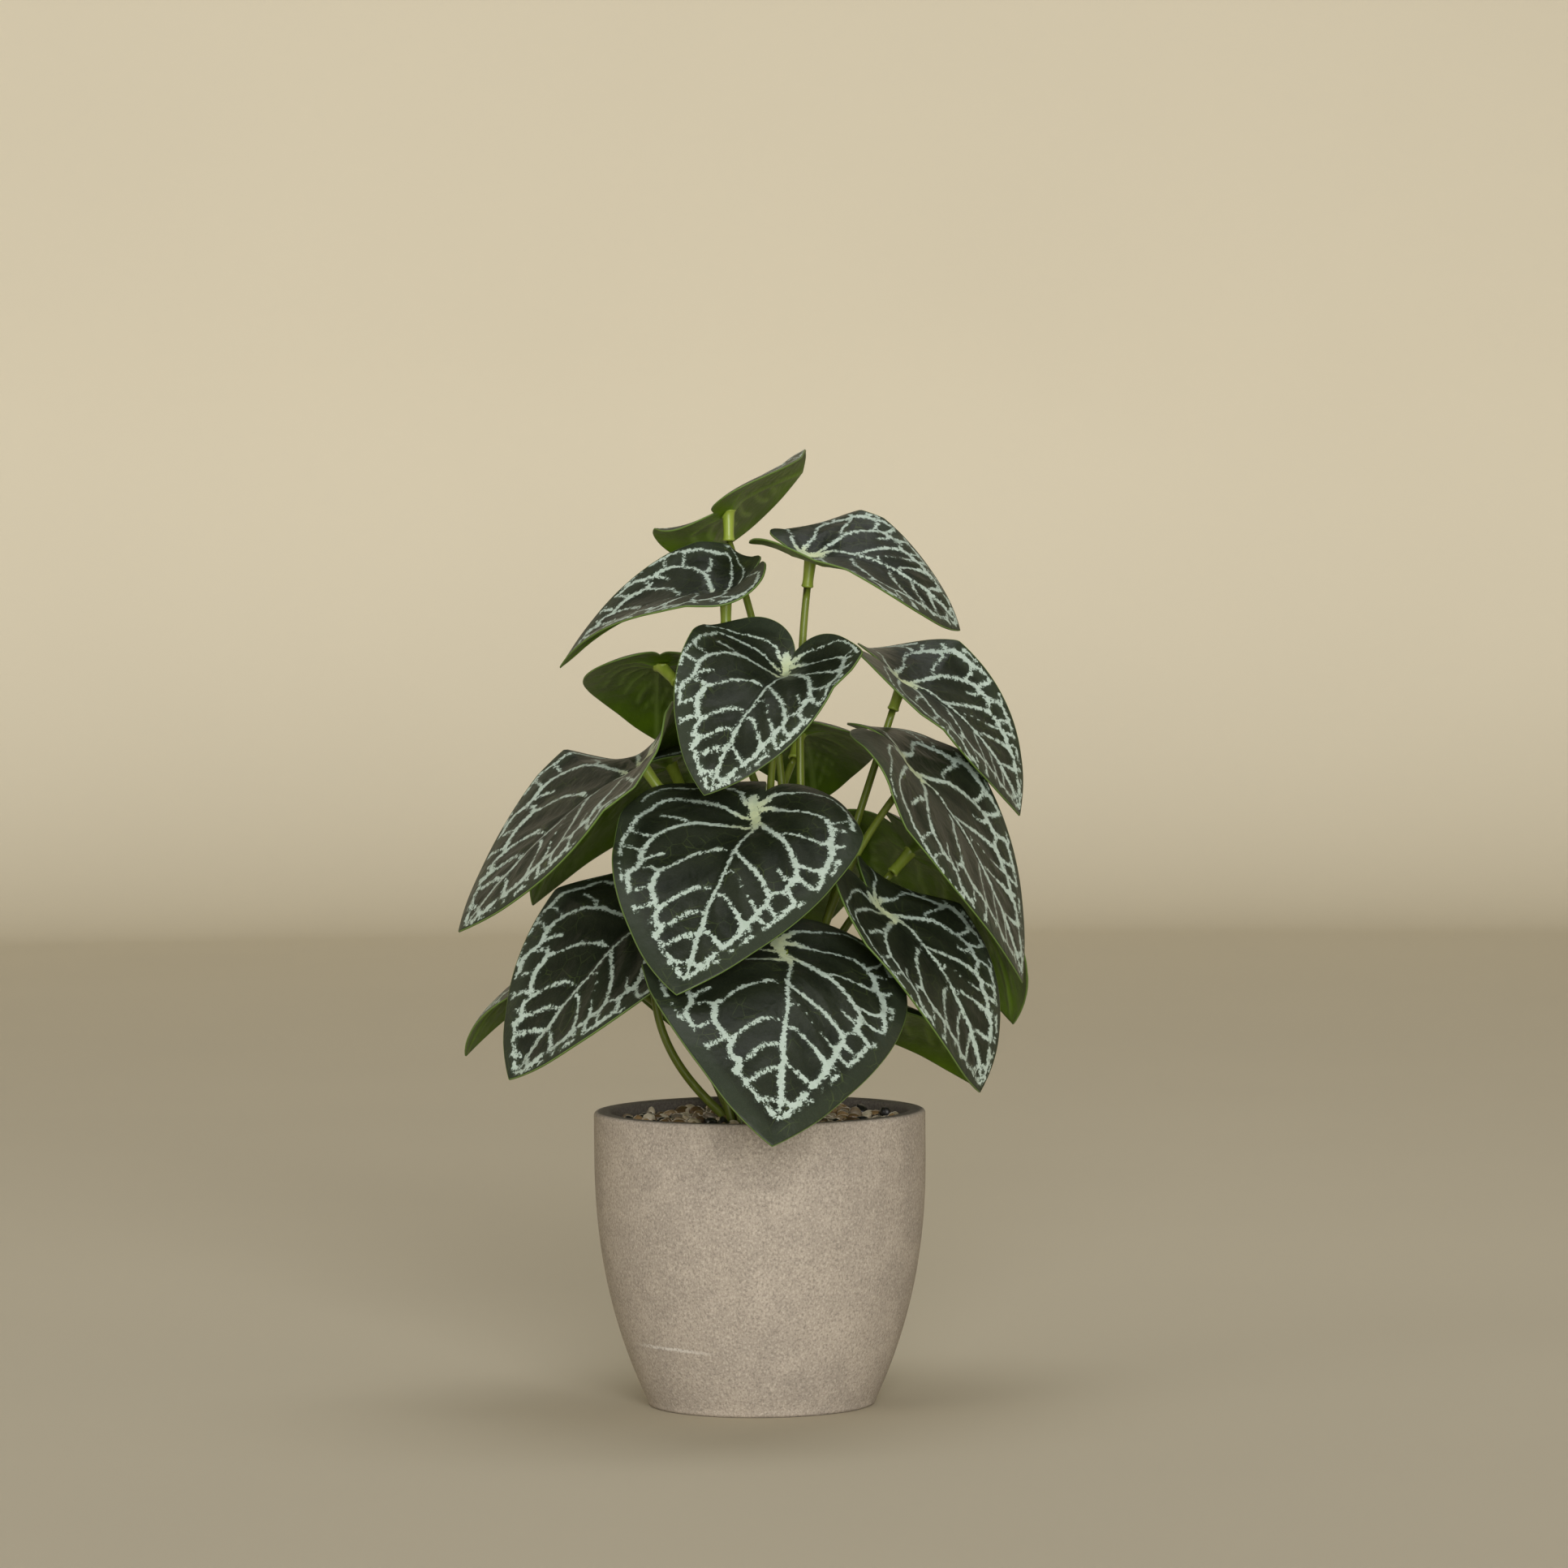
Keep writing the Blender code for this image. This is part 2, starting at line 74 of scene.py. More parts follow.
# Pot: a turned cup, nearly upright at the rim and drawn in towards the foot
POT_HEIGHT = 121 * MM
POT_RADIUS = 68 * MM
FOOT_RADIUS = 46 * MM
BODY_HEIGHT = 105 * MM
BODY_POWER = 2.3
POT_WALL = 7.3 * MM
POT_FLOOR = 9 * MM
RIM_ROUND = 1.5 * MM
FOOT_ROUND = 2.0 * MM
# Filler plug and gravel
FILLER_TOP = 106 * MM
BED_TOP = 112 * MM

# Stones: sizes over their mean radius, and lifts and shifts in millimetres
STONE_SIZES = (0.65, 1.2)
STONE_LIFTS = (1.2, 4.8)
STONE_SHIFT = 1.2
ROW_GAP = 0.3 * MM
WALL_GAP = 0.2 * MM
PLUG_GAP = 0.3 * MM
BED_RISE = 1.5 * MM
# The bed under the stones takes a near-black stone tone, as painted shade in the gaps between them.
BED_SHADE_TONE = 0.14
BED_SIDES = 96

# Stalks: a stem that tapers upwards, then a wider sleeve under the blade
STEM_FOOT_RADIUS = 1.9 * MM
STEM_TOP_RADIUS = 1.5 * MM
SLEEVE_LENGTH = 13 * MM
SLEEVE_GAP = 0.45 * MM
# Rings of the sleeve in millimetres: height over its foot, and radius
SLEEVE_RINGS = (
    (-0.2, 1.5), (0, 2.0), (0.25, 2.45), (0.7, 2.5), (1.4, 2.3), (3, 2.2), (5, 2.25), (7, 2.35), (9, 2.45),
    (10.6, 2.55), (11.6, 2.75), (12.3, 3.1), (12.75, 3.5),
)
FOOT_SHARE = 0.35
TOP_SHARE = 0.33
ROOT_DEPTH = 12 * MM
ROOT_RISE = 5 * MM
ROOT_RINGS = ((7, 6.6 * MM), (13, 12.8 * MM))

# Blades: a polar grid about the point where the stalk joins, bent into place
DIMPLE_WIDTH = 0.15
HALF_WIDTH = 0.5
CREASE_SHARE = 0.3
BEND_LATENESS = 1.6
LOBE_REACH = 0.4
LOBE_FROM = 0.15
END_FROM = 0.3
STRAIGHT = 1e-5
MIDRIB_SAMPLES = 81
MIDRIB_START = -0.45

# Relief of a blade in millimetres: fields that swell between sunk creases, and ribs below
RELIEF_FADE = 6
SWELL = 0.9
SWELL_WIDTH = 5.5
SWELL_DROP = 0.45
GROOVE = 0.25
GROOVE_WIDTH = 1.6
RIB = 0.9
RIB_WIDTH = 1.3
VEIN = 0.35
VEIN_WIDTH = 0.8
EDGE_SHARE = 0.988

# Outline of the flat blade: angle from the tip in degrees, radius over the blade's length
OUTLINE = (
    (0, 1.0), (9, 0.905), (22, 0.775), (40, 0.655), (60, 0.575), (80, 0.535), (100, 0.505),
    (120, 0.465), (138, 0.41), (153, 0.335), (166, 0.245), (175, 0.175), (180, 0.145),
)


def leaf(
    base, tip, roll=0, arch=50, lobes=20, left=25, right=25, lobe=(0, 0), end=(0, 0),
    dimple=0.06, lean=20, splay=15, bow=(0, 0),
):
    """One leaf's pose. base and tip are in millimetres: where the stalk joins, and the blade's point.

    Angles are in degrees. roll lifts the left half, seen from above with the tip pointing away. arch is how
    far the midrib turns down from base to tip, and lobes how far the rear lobes turn down behind the base.
    left and right are the droops of the two halves, lobe adds to them at the rear and end at the tip.
    dimple is the depth of the hollow over the stalk, in parts of the length. lean tips the stalk's top out
    from the pot's axis, splay tips its foot out, and bow shifts its middle sideways in millimetres.
    """
    return {
        "base": np.array(base, float) * MM,
        "tip": np.array(tip, float) * MM,
        "roll": math.radians(roll),
        "arch": math.radians(arch),
        "lobes": math.radians(lobes),
        "droop": (math.radians(left), math.radians(right)),
        "lobe": (math.radians(lobe[0]), math.radians(lobe[1])),
        "end": (math.radians(end[0]), math.radians(end[1])),
        "dimple": dimple,
        "lean": math.radians(lean),
        "splay": math.radians(splay),
        "bow": np.array([*bow, 0]) * MM,
    }


# From the top of the plant down, front leaves first and rear leaves after
LEAVES = {
    "01": leaf(
        (-11, 45, 367), (22, 101, 381), roll=-53, left=-3, right=39, arch=8, lobes=0, lobe=(-70, 0),
        end=(20, -20), dimple=0.04, lean=5, bow=(26, -18),
    ),
    "02": leaf(
        (23, -2, 348), (80, -1, 316), roll=40, left=10, right=-45, arch=65, lobes=0, lobe=(35, -20),
        end=(40, 30), lean=7,
    ),
    "03": leaf(
        (-12, 2, 332), (-77, 10, 300), roll=5, left=20, right=-55, arch=40, lobes=-60, lobe=(15, 25),
        end=(-5, 10), lean=0,
    ),
    "04": leaf(
        (12, -25, 301), (-19, -65, 252), roll=-20, left=-30, right=-25, arch=50, lobes=-60,
        lobe=(-10, 25), end=(60, 5), dimple=0.07,
    ),
    "05": leaf(
        (61, 45, 295), (107, 50, 238), roll=10, left=-50, right=10, arch=45, lobes=0, lobe=(60, -10),
        end=(0, 35), dimple=0.03, lean=25, bow=(2, 4),
    ),
    "06": leaf(
        (63, -10, 261), (105, -6, 172), roll=5, left=-35, right=30, arch=25, lobes=60, lobe=(45, -15),
        end=(-5, 5), dimple=0.03, lean=30, bow=(-8, 6),
    ),
    "07": leaf(
        (-47, -10, 264), (-119, -25, 195), roll=-5, left=-5, right=-15, arch=20, lobes=-60,
        lobe=(-25, 80), end=(40, 15), dimple=0.03, lean=35,
    ),
    "08": leaf(
        (-1, -45, 243), (-29, -104, 173), roll=10, left=40, right=-30, arch=15, lobes=65, lobe=(10, 25),
        end=(15, -50), lean=38, splay=0,
    ),
    "09": leaf(
        (-45, -7, 204), (-100, -22, 135), roll=-30, left=-10, right=0, arch=15, lobes=0, lobe=(0, 45),
        end=(-15, 0), dimple=0.03, lean=10, splay=40, bow=(-7, 0),
    ),
    "10": leaf(
        (9, -66, 191), (5, -140, 118), roll=-10, left=25, right=10, arch=35, lobes=30, lobe=(0, 75),
        end=(0, -25), dimple=0.03,
    ),
    "11": leaf(
        (51, -33, 204), (87, -38, 131), roll=25, left=0, right=-15, arch=50, lobes=-15, lobe=(45, -15),
        end=(-5, 5), dimple=0.03, lean=35,
    ),
    "12": leaf((-40, 38, 303), (-42, 88, 268), lean=57, splay=2, bow=(18, 5)),
    "13": leaf((18, 50, 274), (24, 100, 240), lean=35, splay=0, bow=(-8, 0)),
    "14": leaf(
        (-36, 42, 262), (-90, 60, 201), roll=10, lobes=60, lean=35, splay=30, bow=(-12, -12),
    ),
    "15": leaf((64, 40, 225), (102, 64, 150), left=25, right=25, lean=45, splay=30, bow=(-6, 4)),
    "16": leaf((90, 101, 196), (107, 112, 151), lean=54, splay=42, bow=(-7, 10)),
    "17": leaf((0, 68, 222), (0, 126, 164), lean=50, splay=0),
    "18": leaf((53, 11, 161), (87, 52, 124), lean=23, splay=1, bow=(11, 11)),
    "19": leaf((-74, 32, 183), (-119, 47, 139), lean=60, splay=35, bow=(6, 0)),
    "20": leaf((-27, 52, 184), (-29, 98, 141)),
}


# Silver print, read from leaf 08 in an enlarged view of the photograph: the view's scale and corner,
# the size of a pixel of the photograph at that leaf, and each stroke's points and widths in the view's pixels
PRINT_LEAF = "08"
PRINT_ZOOM = 4.9
PRINT_CORNER = (745, 960)
PRINT_PIXEL = 0.332 * MM
PRINT_STROKES = (
    (
        (905, 300, 22), (870, 335, 14), (820, 380, 14), (780, 430, 16), (745, 510, 14), (710, 590, 14),
        (675, 660, 18), (640, 730, 20), (610, 800, 24), (595, 870, 28), (570, 930, 28), (545, 980, 28),
        (535, 1040, 28), (515, 1110, 26), (495, 1170, 16), (485, 1230, 12), (480, 1260, 14),
    ),
    ((900, 130, 60), (905, 190, 60), (910, 250, 56), (905, 295, 36)),
    (
        (885, 240, 24), (830, 228, 18), (790, 205, 16), (740, 178, 16), (680, 155, 18), (620, 142, 20),
        (560, 135, 20), (480, 125, 14), (400, 130, 14), (340, 155, 22), (300, 190, 24), (250, 225, 18),
        (210, 260, 18), (175, 310, 16), (135, 350, 12), (100, 390, 14), (82, 440, 14), (70, 480, 16),
    ),
    (
        (880, 292, 28), (800, 290, 26), (720, 285, 26), (640, 280, 22), (570, 272, 28), (500, 285, 20),
        (430, 300, 18), (370, 330, 18), (320, 355, 24), (290, 390, 18), (260, 430, 24), (240, 470, 30),
        (245, 500, 26), (220, 540, 24), (170, 570, 20), (140, 600, 26), (130, 640, 26), (145, 685, 24),
    ),
    ((520, 275, 14), (490, 250, 18), (430, 235, 12), (365, 222, 16)),
    ((175, 315, 14), (230, 330, 12), (290, 350, 12)),
    ((95, 420, 14), (150, 420, 12), (200, 430, 14), (245, 445, 20)),
    ((265, 490, 14), (310, 470, 14), (365, 455, 16)),
    (
        (735, 426, 8), (680, 425, 32), (640, 440, 12), (590, 450, 14), (540, 465, 24), (500, 485, 12),
        (460, 505, 20), (430, 525, 10), (400, 540, 10), (370, 550, 28), (330, 560, 30), (300, 530, 14),
        (255, 545, 10),
    ),
    (
        (340, 555, 26), (320, 600, 28), (295, 650, 34), (305, 700, 28), (320, 760, 30), (345, 780, 26),
        (385, 745, 16),
    ),
    ((265, 665, 16), (235, 670, 12), (200, 685, 20)),
    ((145, 685, 24), (130, 688, 14), (125, 720, 8)),
    ((320, 760, 26), (270, 770, 16), (220, 795, 18), (165, 812, 26), (170, 845, 6)),
    (
        (640, 655, 8), (590, 655, 20), (545, 662, 28), (500, 685, 20), (455, 705, 16), (420, 725, 12),
        (385, 748, 16),
    ),
    ((345, 780, 26), (315, 825, 22), (320, 865, 22), (350, 885, 34), (280, 875, 12)),
    ((605, 798, 18), (560, 800, 20), (510, 810, 24), (460, 835, 18), (420, 865, 22), (380, 885, 18)),
    ((355, 885, 30), (340, 920, 30), (300, 960, 38), (330, 985, 16), (355, 1015, 18)),
    ((575, 922, 22), (540, 930, 28), (490, 945, 28), (440, 965, 22), (395, 990, 26), (360, 1005, 14)),
    ((330, 1050, 20), (360, 1080, 16), (385, 1110, 22), (400, 1135, 28), (370, 1165, 20)),
    ((515, 1100, 20), (470, 1105, 22), (430, 1120, 20), (400, 1135, 30)),
    ((418, 1205, 26), (440, 1240, 32)),
    (
        (455, 1285, 14), (485, 1275, 26), (515, 1265, 26), (545, 1230, 20), (562, 1190, 30),
        (545, 1160, 24), (515, 1122, 22),
    ),
    ((562, 1190, 30), (600, 1160, 26), (640, 1110, 34), (662, 1075, 24)),
    ((570, 1240, 8), (590, 1230, 14), (612, 1212, 10)),
    ((655, 1185, 8), (690, 1155, 6)),
    (
        (935, 165, 36), (980, 132, 34), (1030, 102, 24), (1080, 92, 14), (1140, 92, 10), (1200, 88, 8),
        (1260, 100, 9), (1310, 110, 10), (1360, 130, 12), (1410, 165, 20), (1435, 188, 24), (1460, 215, 12),
        (1480, 258, 28), (1480, 310, 30),
    ),
    (
        (940, 185, 36), (1000, 175, 32), (1060, 190, 22), (1110, 195, 12), (1160, 190, 10), (1220, 200, 12),
        (1280, 215, 16), (1320, 245, 22), (1340, 280, 26), (1355, 330, 28), (1340, 375, 34),
        (1350, 430, 36), (1340, 480, 34), (1310, 530, 30), (1290, 560, 34), (1305, 610, 22),
        (1290, 650, 18), (1270, 690, 18),
    ),
    ((1350, 262, 12), (1400, 262, 10), (1450, 255, 10), (1490, 262, 12)),
    ((1350, 305, 14), (1390, 305, 12), (1425, 315, 14)),
    ((1350, 400, 24), (1400, 405, 18), (1425, 398, 10)),
    (
        (930, 265, 28), (975, 300, 24), (1030, 340, 26), (1065, 365, 20), (1095, 410, 20), (1115, 460, 24),
        (1135, 520, 28), (1145, 570, 26), (1130, 605, 34), (1090, 650, 24), (1060, 685, 20),
        (1010, 690, 16), (975, 712, 24),
    ),
    (
        (1050, 345, 12), (1080, 330, 12), (1130, 330, 12), (1190, 345, 12), (1240, 365, 14),
        (1285, 385, 20), (1330, 380, 28),
    ),
    ((1140, 510, 18), (1190, 530, 18), (1240, 548, 20), (1290, 550, 28)),
    ((1150, 590, 20), (1190, 630, 20), (1230, 660, 24), (1270, 690, 18)),
    ((1035, 540, 6), (1055, 580, 10), (1080, 605, 18), (1120, 605, 26)),
    (
        (785, 430, 14), (820, 470, 18), (870, 520, 20), (910, 565, 22), (945, 620, 20), (965, 670, 22),
        (980, 710, 24), (960, 760, 26), (920, 790, 34), (900, 830, 28), (860, 870, 28), (825, 890, 40),
    ),
    ((870, 735, 14), (885, 765, 12), (905, 795, 18)),
    ((965, 760, 20), (990, 800, 16), (1015, 830, 18)),
    ((915, 840, 18), (930, 870, 20), (945, 890, 16)),
    (
        (1090, 650, 22), (1095, 700, 22), (1120, 740, 24), (1120, 775, 22), (1080, 820, 24),
        (1030, 870, 22), (980, 905, 18), (950, 932, 18),
    ),
    ((1125, 785, 14), (1165, 795, 14), (1200, 765, 5)),
    ((890, 985, 10), (850, 1000, 22), (830, 1035, 10), (808, 1055, 8)),
    ((760, 1080, 8), (745, 1100, 7)),
    (
        (690, 700, 22), (712, 700, 12), (735, 725, 16), (755, 760, 12), (775, 790, 10), (790, 820, 22),
        (810, 860, 26), (825, 890, 40), (810, 930, 34), (770, 970, 24), (730, 1010, 34), (700, 1035, 26),
    ),
    ((830, 900, 24), (875, 922, 12)),
    ((600, 915, 14), (640, 940, 14), (665, 970, 26), (690, 1000, 24), (722, 1020, 36)),
    ((735, 566, 8), (775, 560, 10)),
    ((810, 605, 9), (811, 606, 9)),
    ((820, 650, 9), (821, 651, 9)),
    ((850, 705, 9), (853, 708, 9)),
    ((1395, 505, 34), (1390, 530, 22)),
    ((1385, 565, 12), (1365, 595, 12)),
    ((65, 530, 12), (65, 532, 12)),
    ((65, 575, 12), (65, 580, 12)),
    ((70, 615, 20), (80, 640, 22)),
    (
        (860, 150, 30), (828, 92, 14), (790, 74, 10), (740, 64, 8), (650, 60, 7), (560, 68, 9),
        (450, 68, 10), (380, 72, 10), (320, 88, 10), (265, 108, 10), (235, 140, 12),
    ),
)

# Past PRINT_FULL of the way to the outline the print is drawn in, to PRINT_PULL of its reach. Then it is
# stretched along and across the midrib, less on two leaves that keep a wider plain border
PRINT_FULL = 0.85
PRINT_PULL = 0.55
USUAL_SPREAD = (1.045, 1.085)
PRINT_SPREAD = {"08": (1.0, 1.045), "10": (0.965, 1.01)}

# Moulded creases for a length of 100, along and across: the midrib and the side veins that leave it
CREASES = (
    ((0, 0), (20, 0), (50, 0), (97, 0)),
    ((0, 0), (-3, -13), (-3, -30), (6, -42)),
    ((4, 0), (5, -14), (1, -27), (8, -36), (20, -41)),
    ((17, 0), (20, -10), (26, -22), (36, -29)),
    ((34, 0), (40, -11), (48, -20)),
    ((50, 0), (55, -10), (62, -16)),
    ((62, 0), (67, -8), (73, -11)),
    ((76, 0), (80, -6)),
    ((0, 0), (-7, 12), (-4, 28), (8, 38), (18, 42)),
    ((2, 0), (2, 14), (10, 28), (20, 34), (34, 37)),
    ((6, 0), (12, 11), (24, 22), (38, 26)),
    ((20, 0), (30, 10), (40, 18), (52, 22)),
    ((40, 0), (50, 8), (58, 12), (66, 14)),
    ((60, 0), (67, 5), (73, 10)),
)


def unit(vectors):
    """Vectors made one long, along the last axis."""
    return vectors / np.linalg.norm(vectors, axis=-1, keepdims=True)


def through_points(x, stations):
    """Cubic Hermite curve through (x, y) stations, with each slope taken from the two neighbours."""
    xs, ys = (np.array(column, float) for column in zip(*stations))
    slope = np.gradient(ys, xs)
    slope[1:-1] = (ys[2:] - ys[:-2]) / (xs[2:] - xs[:-2])
    i = np.clip(np.searchsorted(xs, x) - 1, 0, len(xs) - 2)
    span = xs[i + 1] - xs[i]
    t = (x - xs[i]) / span
    return (
        (1 + 2 * t) * (1 - t) ** 2 * ys[i]
        + t * (1 - t) ** 2 * span * slope[i]
        + t**2 * (3 - 2 * t) * ys[i + 1]
        - t**2 * (1 - t) * span * slope[i + 1]
    )


def midrib(pose):
    """The midrib in its upright plane, for a length of 1: stations, places ahead and up, slopes, chord."""
    s = np.linspace(MIDRIB_START, 1.0, MIDRIB_SAMPLES)
    turned = np.where(
        s > 0,
        -pose["arch"] * np.maximum(s, 0) ** BEND_LATENESS,
        pose["lobes"] * np.maximum(-s, 0) / LOBE_REACH,
    )
    step = s[1] - s[0]
    ahead = np.concatenate([[0], np.cumsum((np.cos(turned[1:]) + np.cos(turned[:-1])) / 2) * step])
    up = np.concatenate([[0], np.cumsum((np.sin(turned[1:]) + np.sin(turned[:-1])) / 2) * step])
    ahead -= np.interp(0, s, ahead)
    up -= np.interp(0, s, up)
    chord = math.hypot(ahead[-1], up[-1])
    tilt = -math.atan2(up[-1], ahead[-1])
    return (
        s,
        ahead * math.cos(tilt) - up * math.sin(tilt),
        ahead * math.sin(tilt) + up * math.cos(tilt),
        turned + tilt,
        chord,
    )


def leaf_frame(pose):
    """Unit vectors along the chord from base to tip, to the left, and out of the upper face."""
    along = unit(pose["tip"] - pose["base"])
    upward = unit(UP - along[2] * along)
    leftward = np.cross(upward, along)
    c, s = math.cos(pose["roll"]), math.sin(pose["roll"])
    return along, leftward * c + upward * s, upward * c - leftward * s


def bend(pose, along, across):
    """World points of flat blade points, given along and across the midrib in parts of the length.

    Each half curls down across the midrib by its droop, then the midrib's own arch carries it.
    """
    ahead, leftward, outward = leaf_frame(pose)
    s, rib_ahead, rib_up, rib_slope, chord = midrib(pose)
    length = np.linalg.norm(pose["tip"] - pose["base"]) / chord
    rear = np.clip((LOBE_FROM - along) / LOBE_REACH, 0, 1)
    fore = np.clip((along - END_FROM) / (1 - END_FROM), 0, 1)
    side = np.zeros_like(across)
    rise = np.zeros_like(across)
    for half, sign in enumerate((1, -1)):
        reach = np.clip(across * sign, 0, None)
        droop = pose["droop"][half] + pose["lobe"][half] * rear + pose["end"][half] * fore
        first = droop * CREASE_SHARE
        rate = droop * (1 - CREASE_SHARE) / HALF_WIDTH
        rate = np.where(np.abs(rate) < STRAIGHT, STRAIGHT, rate)
        side += sign * (np.sin(first + rate * reach) - np.sin(first)) / rate
        rise -= (np.cos(first) - np.cos(first + rate * reach)) / rate
    rise += pose["dimple"] * (1 - np.exp(-(along**2 + across**2) / DIMPLE_WIDTH**2))
    x = np.interp(along, s, rib_ahead)
    z = np.interp(along, s, rib_up)
    slope = np.interp(along, s, rib_slope)
    x = x - rise * np.sin(slope)
    z = z + rise * np.cos(slope)
    return pose["base"] + length * (
        x[..., None] * ahead + side[..., None] * leftward + z[..., None] * outward
    )


def root_places():
    """Where the stems stand in the gravel: two rings about the pot's axis."""
    places = []
    for count, radius in ROOT_RINGS:
        for k in range(count):
            turn = 2 * math.pi * (k + 0.5) / count
            places.append(np.array([radius * math.cos(turn), radius * math.sin(turn)]))
    return places


def share_roots():
    """Gives each leaf the free root place that lies nearest its own direction, the lowest leaves first."""
    free = root_places()
    taken = {}
    for key in sorted(LEAVES, key=lambda k: LEAVES[k]["base"][2]):
        out = unit(LEAVES[key]["base"][:2])
        best = max(range(len(free)), key=lambda i: free[i] @ out)
        taken[key] = free.pop(best)
    return taken


def stalk_curve(pose, root, steps):
    """Points of a stem's middle line and its headings: straight up out of the gravel, then a smooth
    cubic curve to the sleeve, and straight on through the sleeve to the blade."""
    foot = np.array([*root, BED_TOP + ROOT_RISE])
    top = pose["base"]
    outward = unit(np.array([*(top[:2] - root), 0]))
    heading = math.cos(pose["lean"]) * UP + math.sin(pose["lean"]) * outward
    leaving = math.cos(pose["splay"]) * UP + math.sin(pose["splay"]) * outward
    reach = np.linalg.norm(top - foot)
    sleeve_foot = top - heading * SLEEVE_LENGTH
    first = foot + leaving * FOOT_SHARE * reach + pose["bow"]
    second = sleeve_foot - heading * TOP_SHARE * reach + pose["bow"]
    t = np.linspace(0, 1, steps)[:, None]
    curve = (
        (1 - t) ** 3 * foot
        + 3 * t * (1 - t) ** 2 * first
        + 3 * t**2 * (1 - t) * second
        + t**3 * sleeve_foot
    )
    buried = np.array([*root, BED_TOP - ROOT_DEPTH / 2])
    return np.concatenate([[buried], curve]), sleeve_foot, heading


def segment_distance(points, start, end):
    """Distance of each point from a line segment, and the share of the segment at its nearest place."""
    along = end - start
    share = np.clip((points - start) @ along / (along @ along + 1e-12), 0, 1)
    return np.linalg.norm(points - start - share[:, None] * along, axis=1), share


def seen_at(points):
    """Where the camera sees world points, in the photograph's pixels: the sideways and upward offsets over
    the depth, times the lens's scale, turned by the roll."""
    pitch, roll = math.radians(CAMERA_PITCH), math.radians(CAMERA_ROLL)
    away = points - CAMERA_PLACE
    depth = away @ (0, math.cos(pitch), -math.sin(pitch))
    right = away[..., 0] / depth
    rise = away @ (0, math.sin(pitch), math.cos(pitch)) / depth
    scale = CAMERA_LENS / SENSOR * PHOTO_SIZE
    x = right * math.cos(roll) - rise * math.sin(roll)
    y = right * math.sin(roll) + rise * math.cos(roll)
    return np.stack([PHOTO_SIZE / 2 + scale * x, PHOTO_SIZE / 2 - scale * y], -1)


def outline_share(flat):
    """How far flat points lie out from the hub, as a share of the outline's radius there."""
    return np.hypot(flat[:, 0], flat[:, 1]) / outline_radius(np.arctan2(flat[:, 1], flat[:, 0]))


def flat_strokes():
    """The print's strokes as flat blade points and widths, for a length of 1. Newton's steps bring each
    point that was read back to the flat blade of its leaf, from the nearest place of a coarse grid."""
    pose = LEAVES[PRINT_LEAF]
    marks = np.concatenate(PRINT_STROKES).astype(float)
    target = PRINT_CORNER + marks[:, :2] / PRINT_ZOOM
    sides = np.linspace(-0.45, 1.02, 148), np.linspace(-0.56, 0.56, 113)
    grid = np.stack(np.meshgrid(*sides, indexing="ij"), -1).reshape(-1, 2)
    grid = grid[outline_share(grid) < 1.04]
    seen = seen_at(bend(pose, *grid.T))
    flat = grid[[np.argmin(((seen - place) ** 2).sum(1)) for place in target]]
    nudge, longest, steps = 1e-4, 0.03, 12
    for _ in range(steps):
        seen = seen_at(bend(pose, *flat.T))
        slopes = [(seen_at(bend(pose, *(flat + way).T)) - seen) / nudge for way in np.eye(2) * nudge]
        back = np.linalg.pinv(np.stack(slopes, -1), rcond=0.05)
        move = (back @ (target - seen)[..., None])[..., 0]
        reach = np.linalg.norm(move, axis=1, keepdims=True) + 1e-9
        flat = flat + move * np.minimum(1, longest / reach)
    share = outline_share(flat)
    drawn = np.where(share > PRINT_FULL, (PRINT_FULL + (share - PRINT_FULL) * PRINT_PULL) / share, 1)
    width = marks[:, 2:] / PRINT_ZOOM * PRINT_PIXEL / blade_length(pose)
    ends = np.cumsum([len(stroke) for stroke in PRINT_STROKES])
    return np.split(np.concatenate([flat * drawn[:, None], width], 1), ends[:-1])


def print_depth(flat, strokes):
    """How far inside the silver strokes each flat point lies, for a length of 1. It is the largest, over
    all strokes, of half the stroke's width there less the distance from its middle line."""
    depth = np.full(len(flat), -1.0)
    for marks in strokes:
        for a, b in zip(marks[:-1], marks[1:]):
            away, share = segment_distance(flat, a[:2], b[:2])
            depth = np.maximum(depth, (a[2] + (b[2] - a[2]) * share) / 2 - away)
    return depth


def crease_distance(flat):
    """Distance of each flat point from the nearest moulded crease, and from the midrib, for a length of 1."""
    near = np.full(len(flat), 1.0)
    rib = near
    for k, crease in enumerate(CREASES):
        marks = np.array(crease) / 100
        for a, b in zip(marks[:-1], marks[1:]):
            near = np.minimum(near, segment_distance(flat, a, b)[0])
        if k == 0:
            rib = near
    return near, rib


def outline_radius(angle):
    return through_points(np.degrees(np.abs(angle)), OUTLINE)


def spoke_angles(count):
    """Angles about the hub that share the blade's outline into equal lengths."""
    fine = np.linspace(-math.pi, math.pi, 2001)
    radius = outline_radius(fine)
    edge = np.stack([radius * np.cos(fine), radius * np.sin(fine)], 1)
    run = np.concatenate([[0], np.cumsum(np.linalg.norm(np.diff(edge, axis=0), axis=1))])
    return np.interp(np.arange(count) / count * run[-1], run, fine)


def blade_length(pose):
    """Length of the flat blade from hub to tip: the chord from base to tip over the bent midrib's chord."""
    return np.linalg.norm(pose["tip"] - pose["base"]) / midrib(pose)[-1]


def around(sides):
    """The numbers of a ring's points, and the number of each point's neighbour."""
    k = np.arange(sides)
    return k, (k + 1) % sides


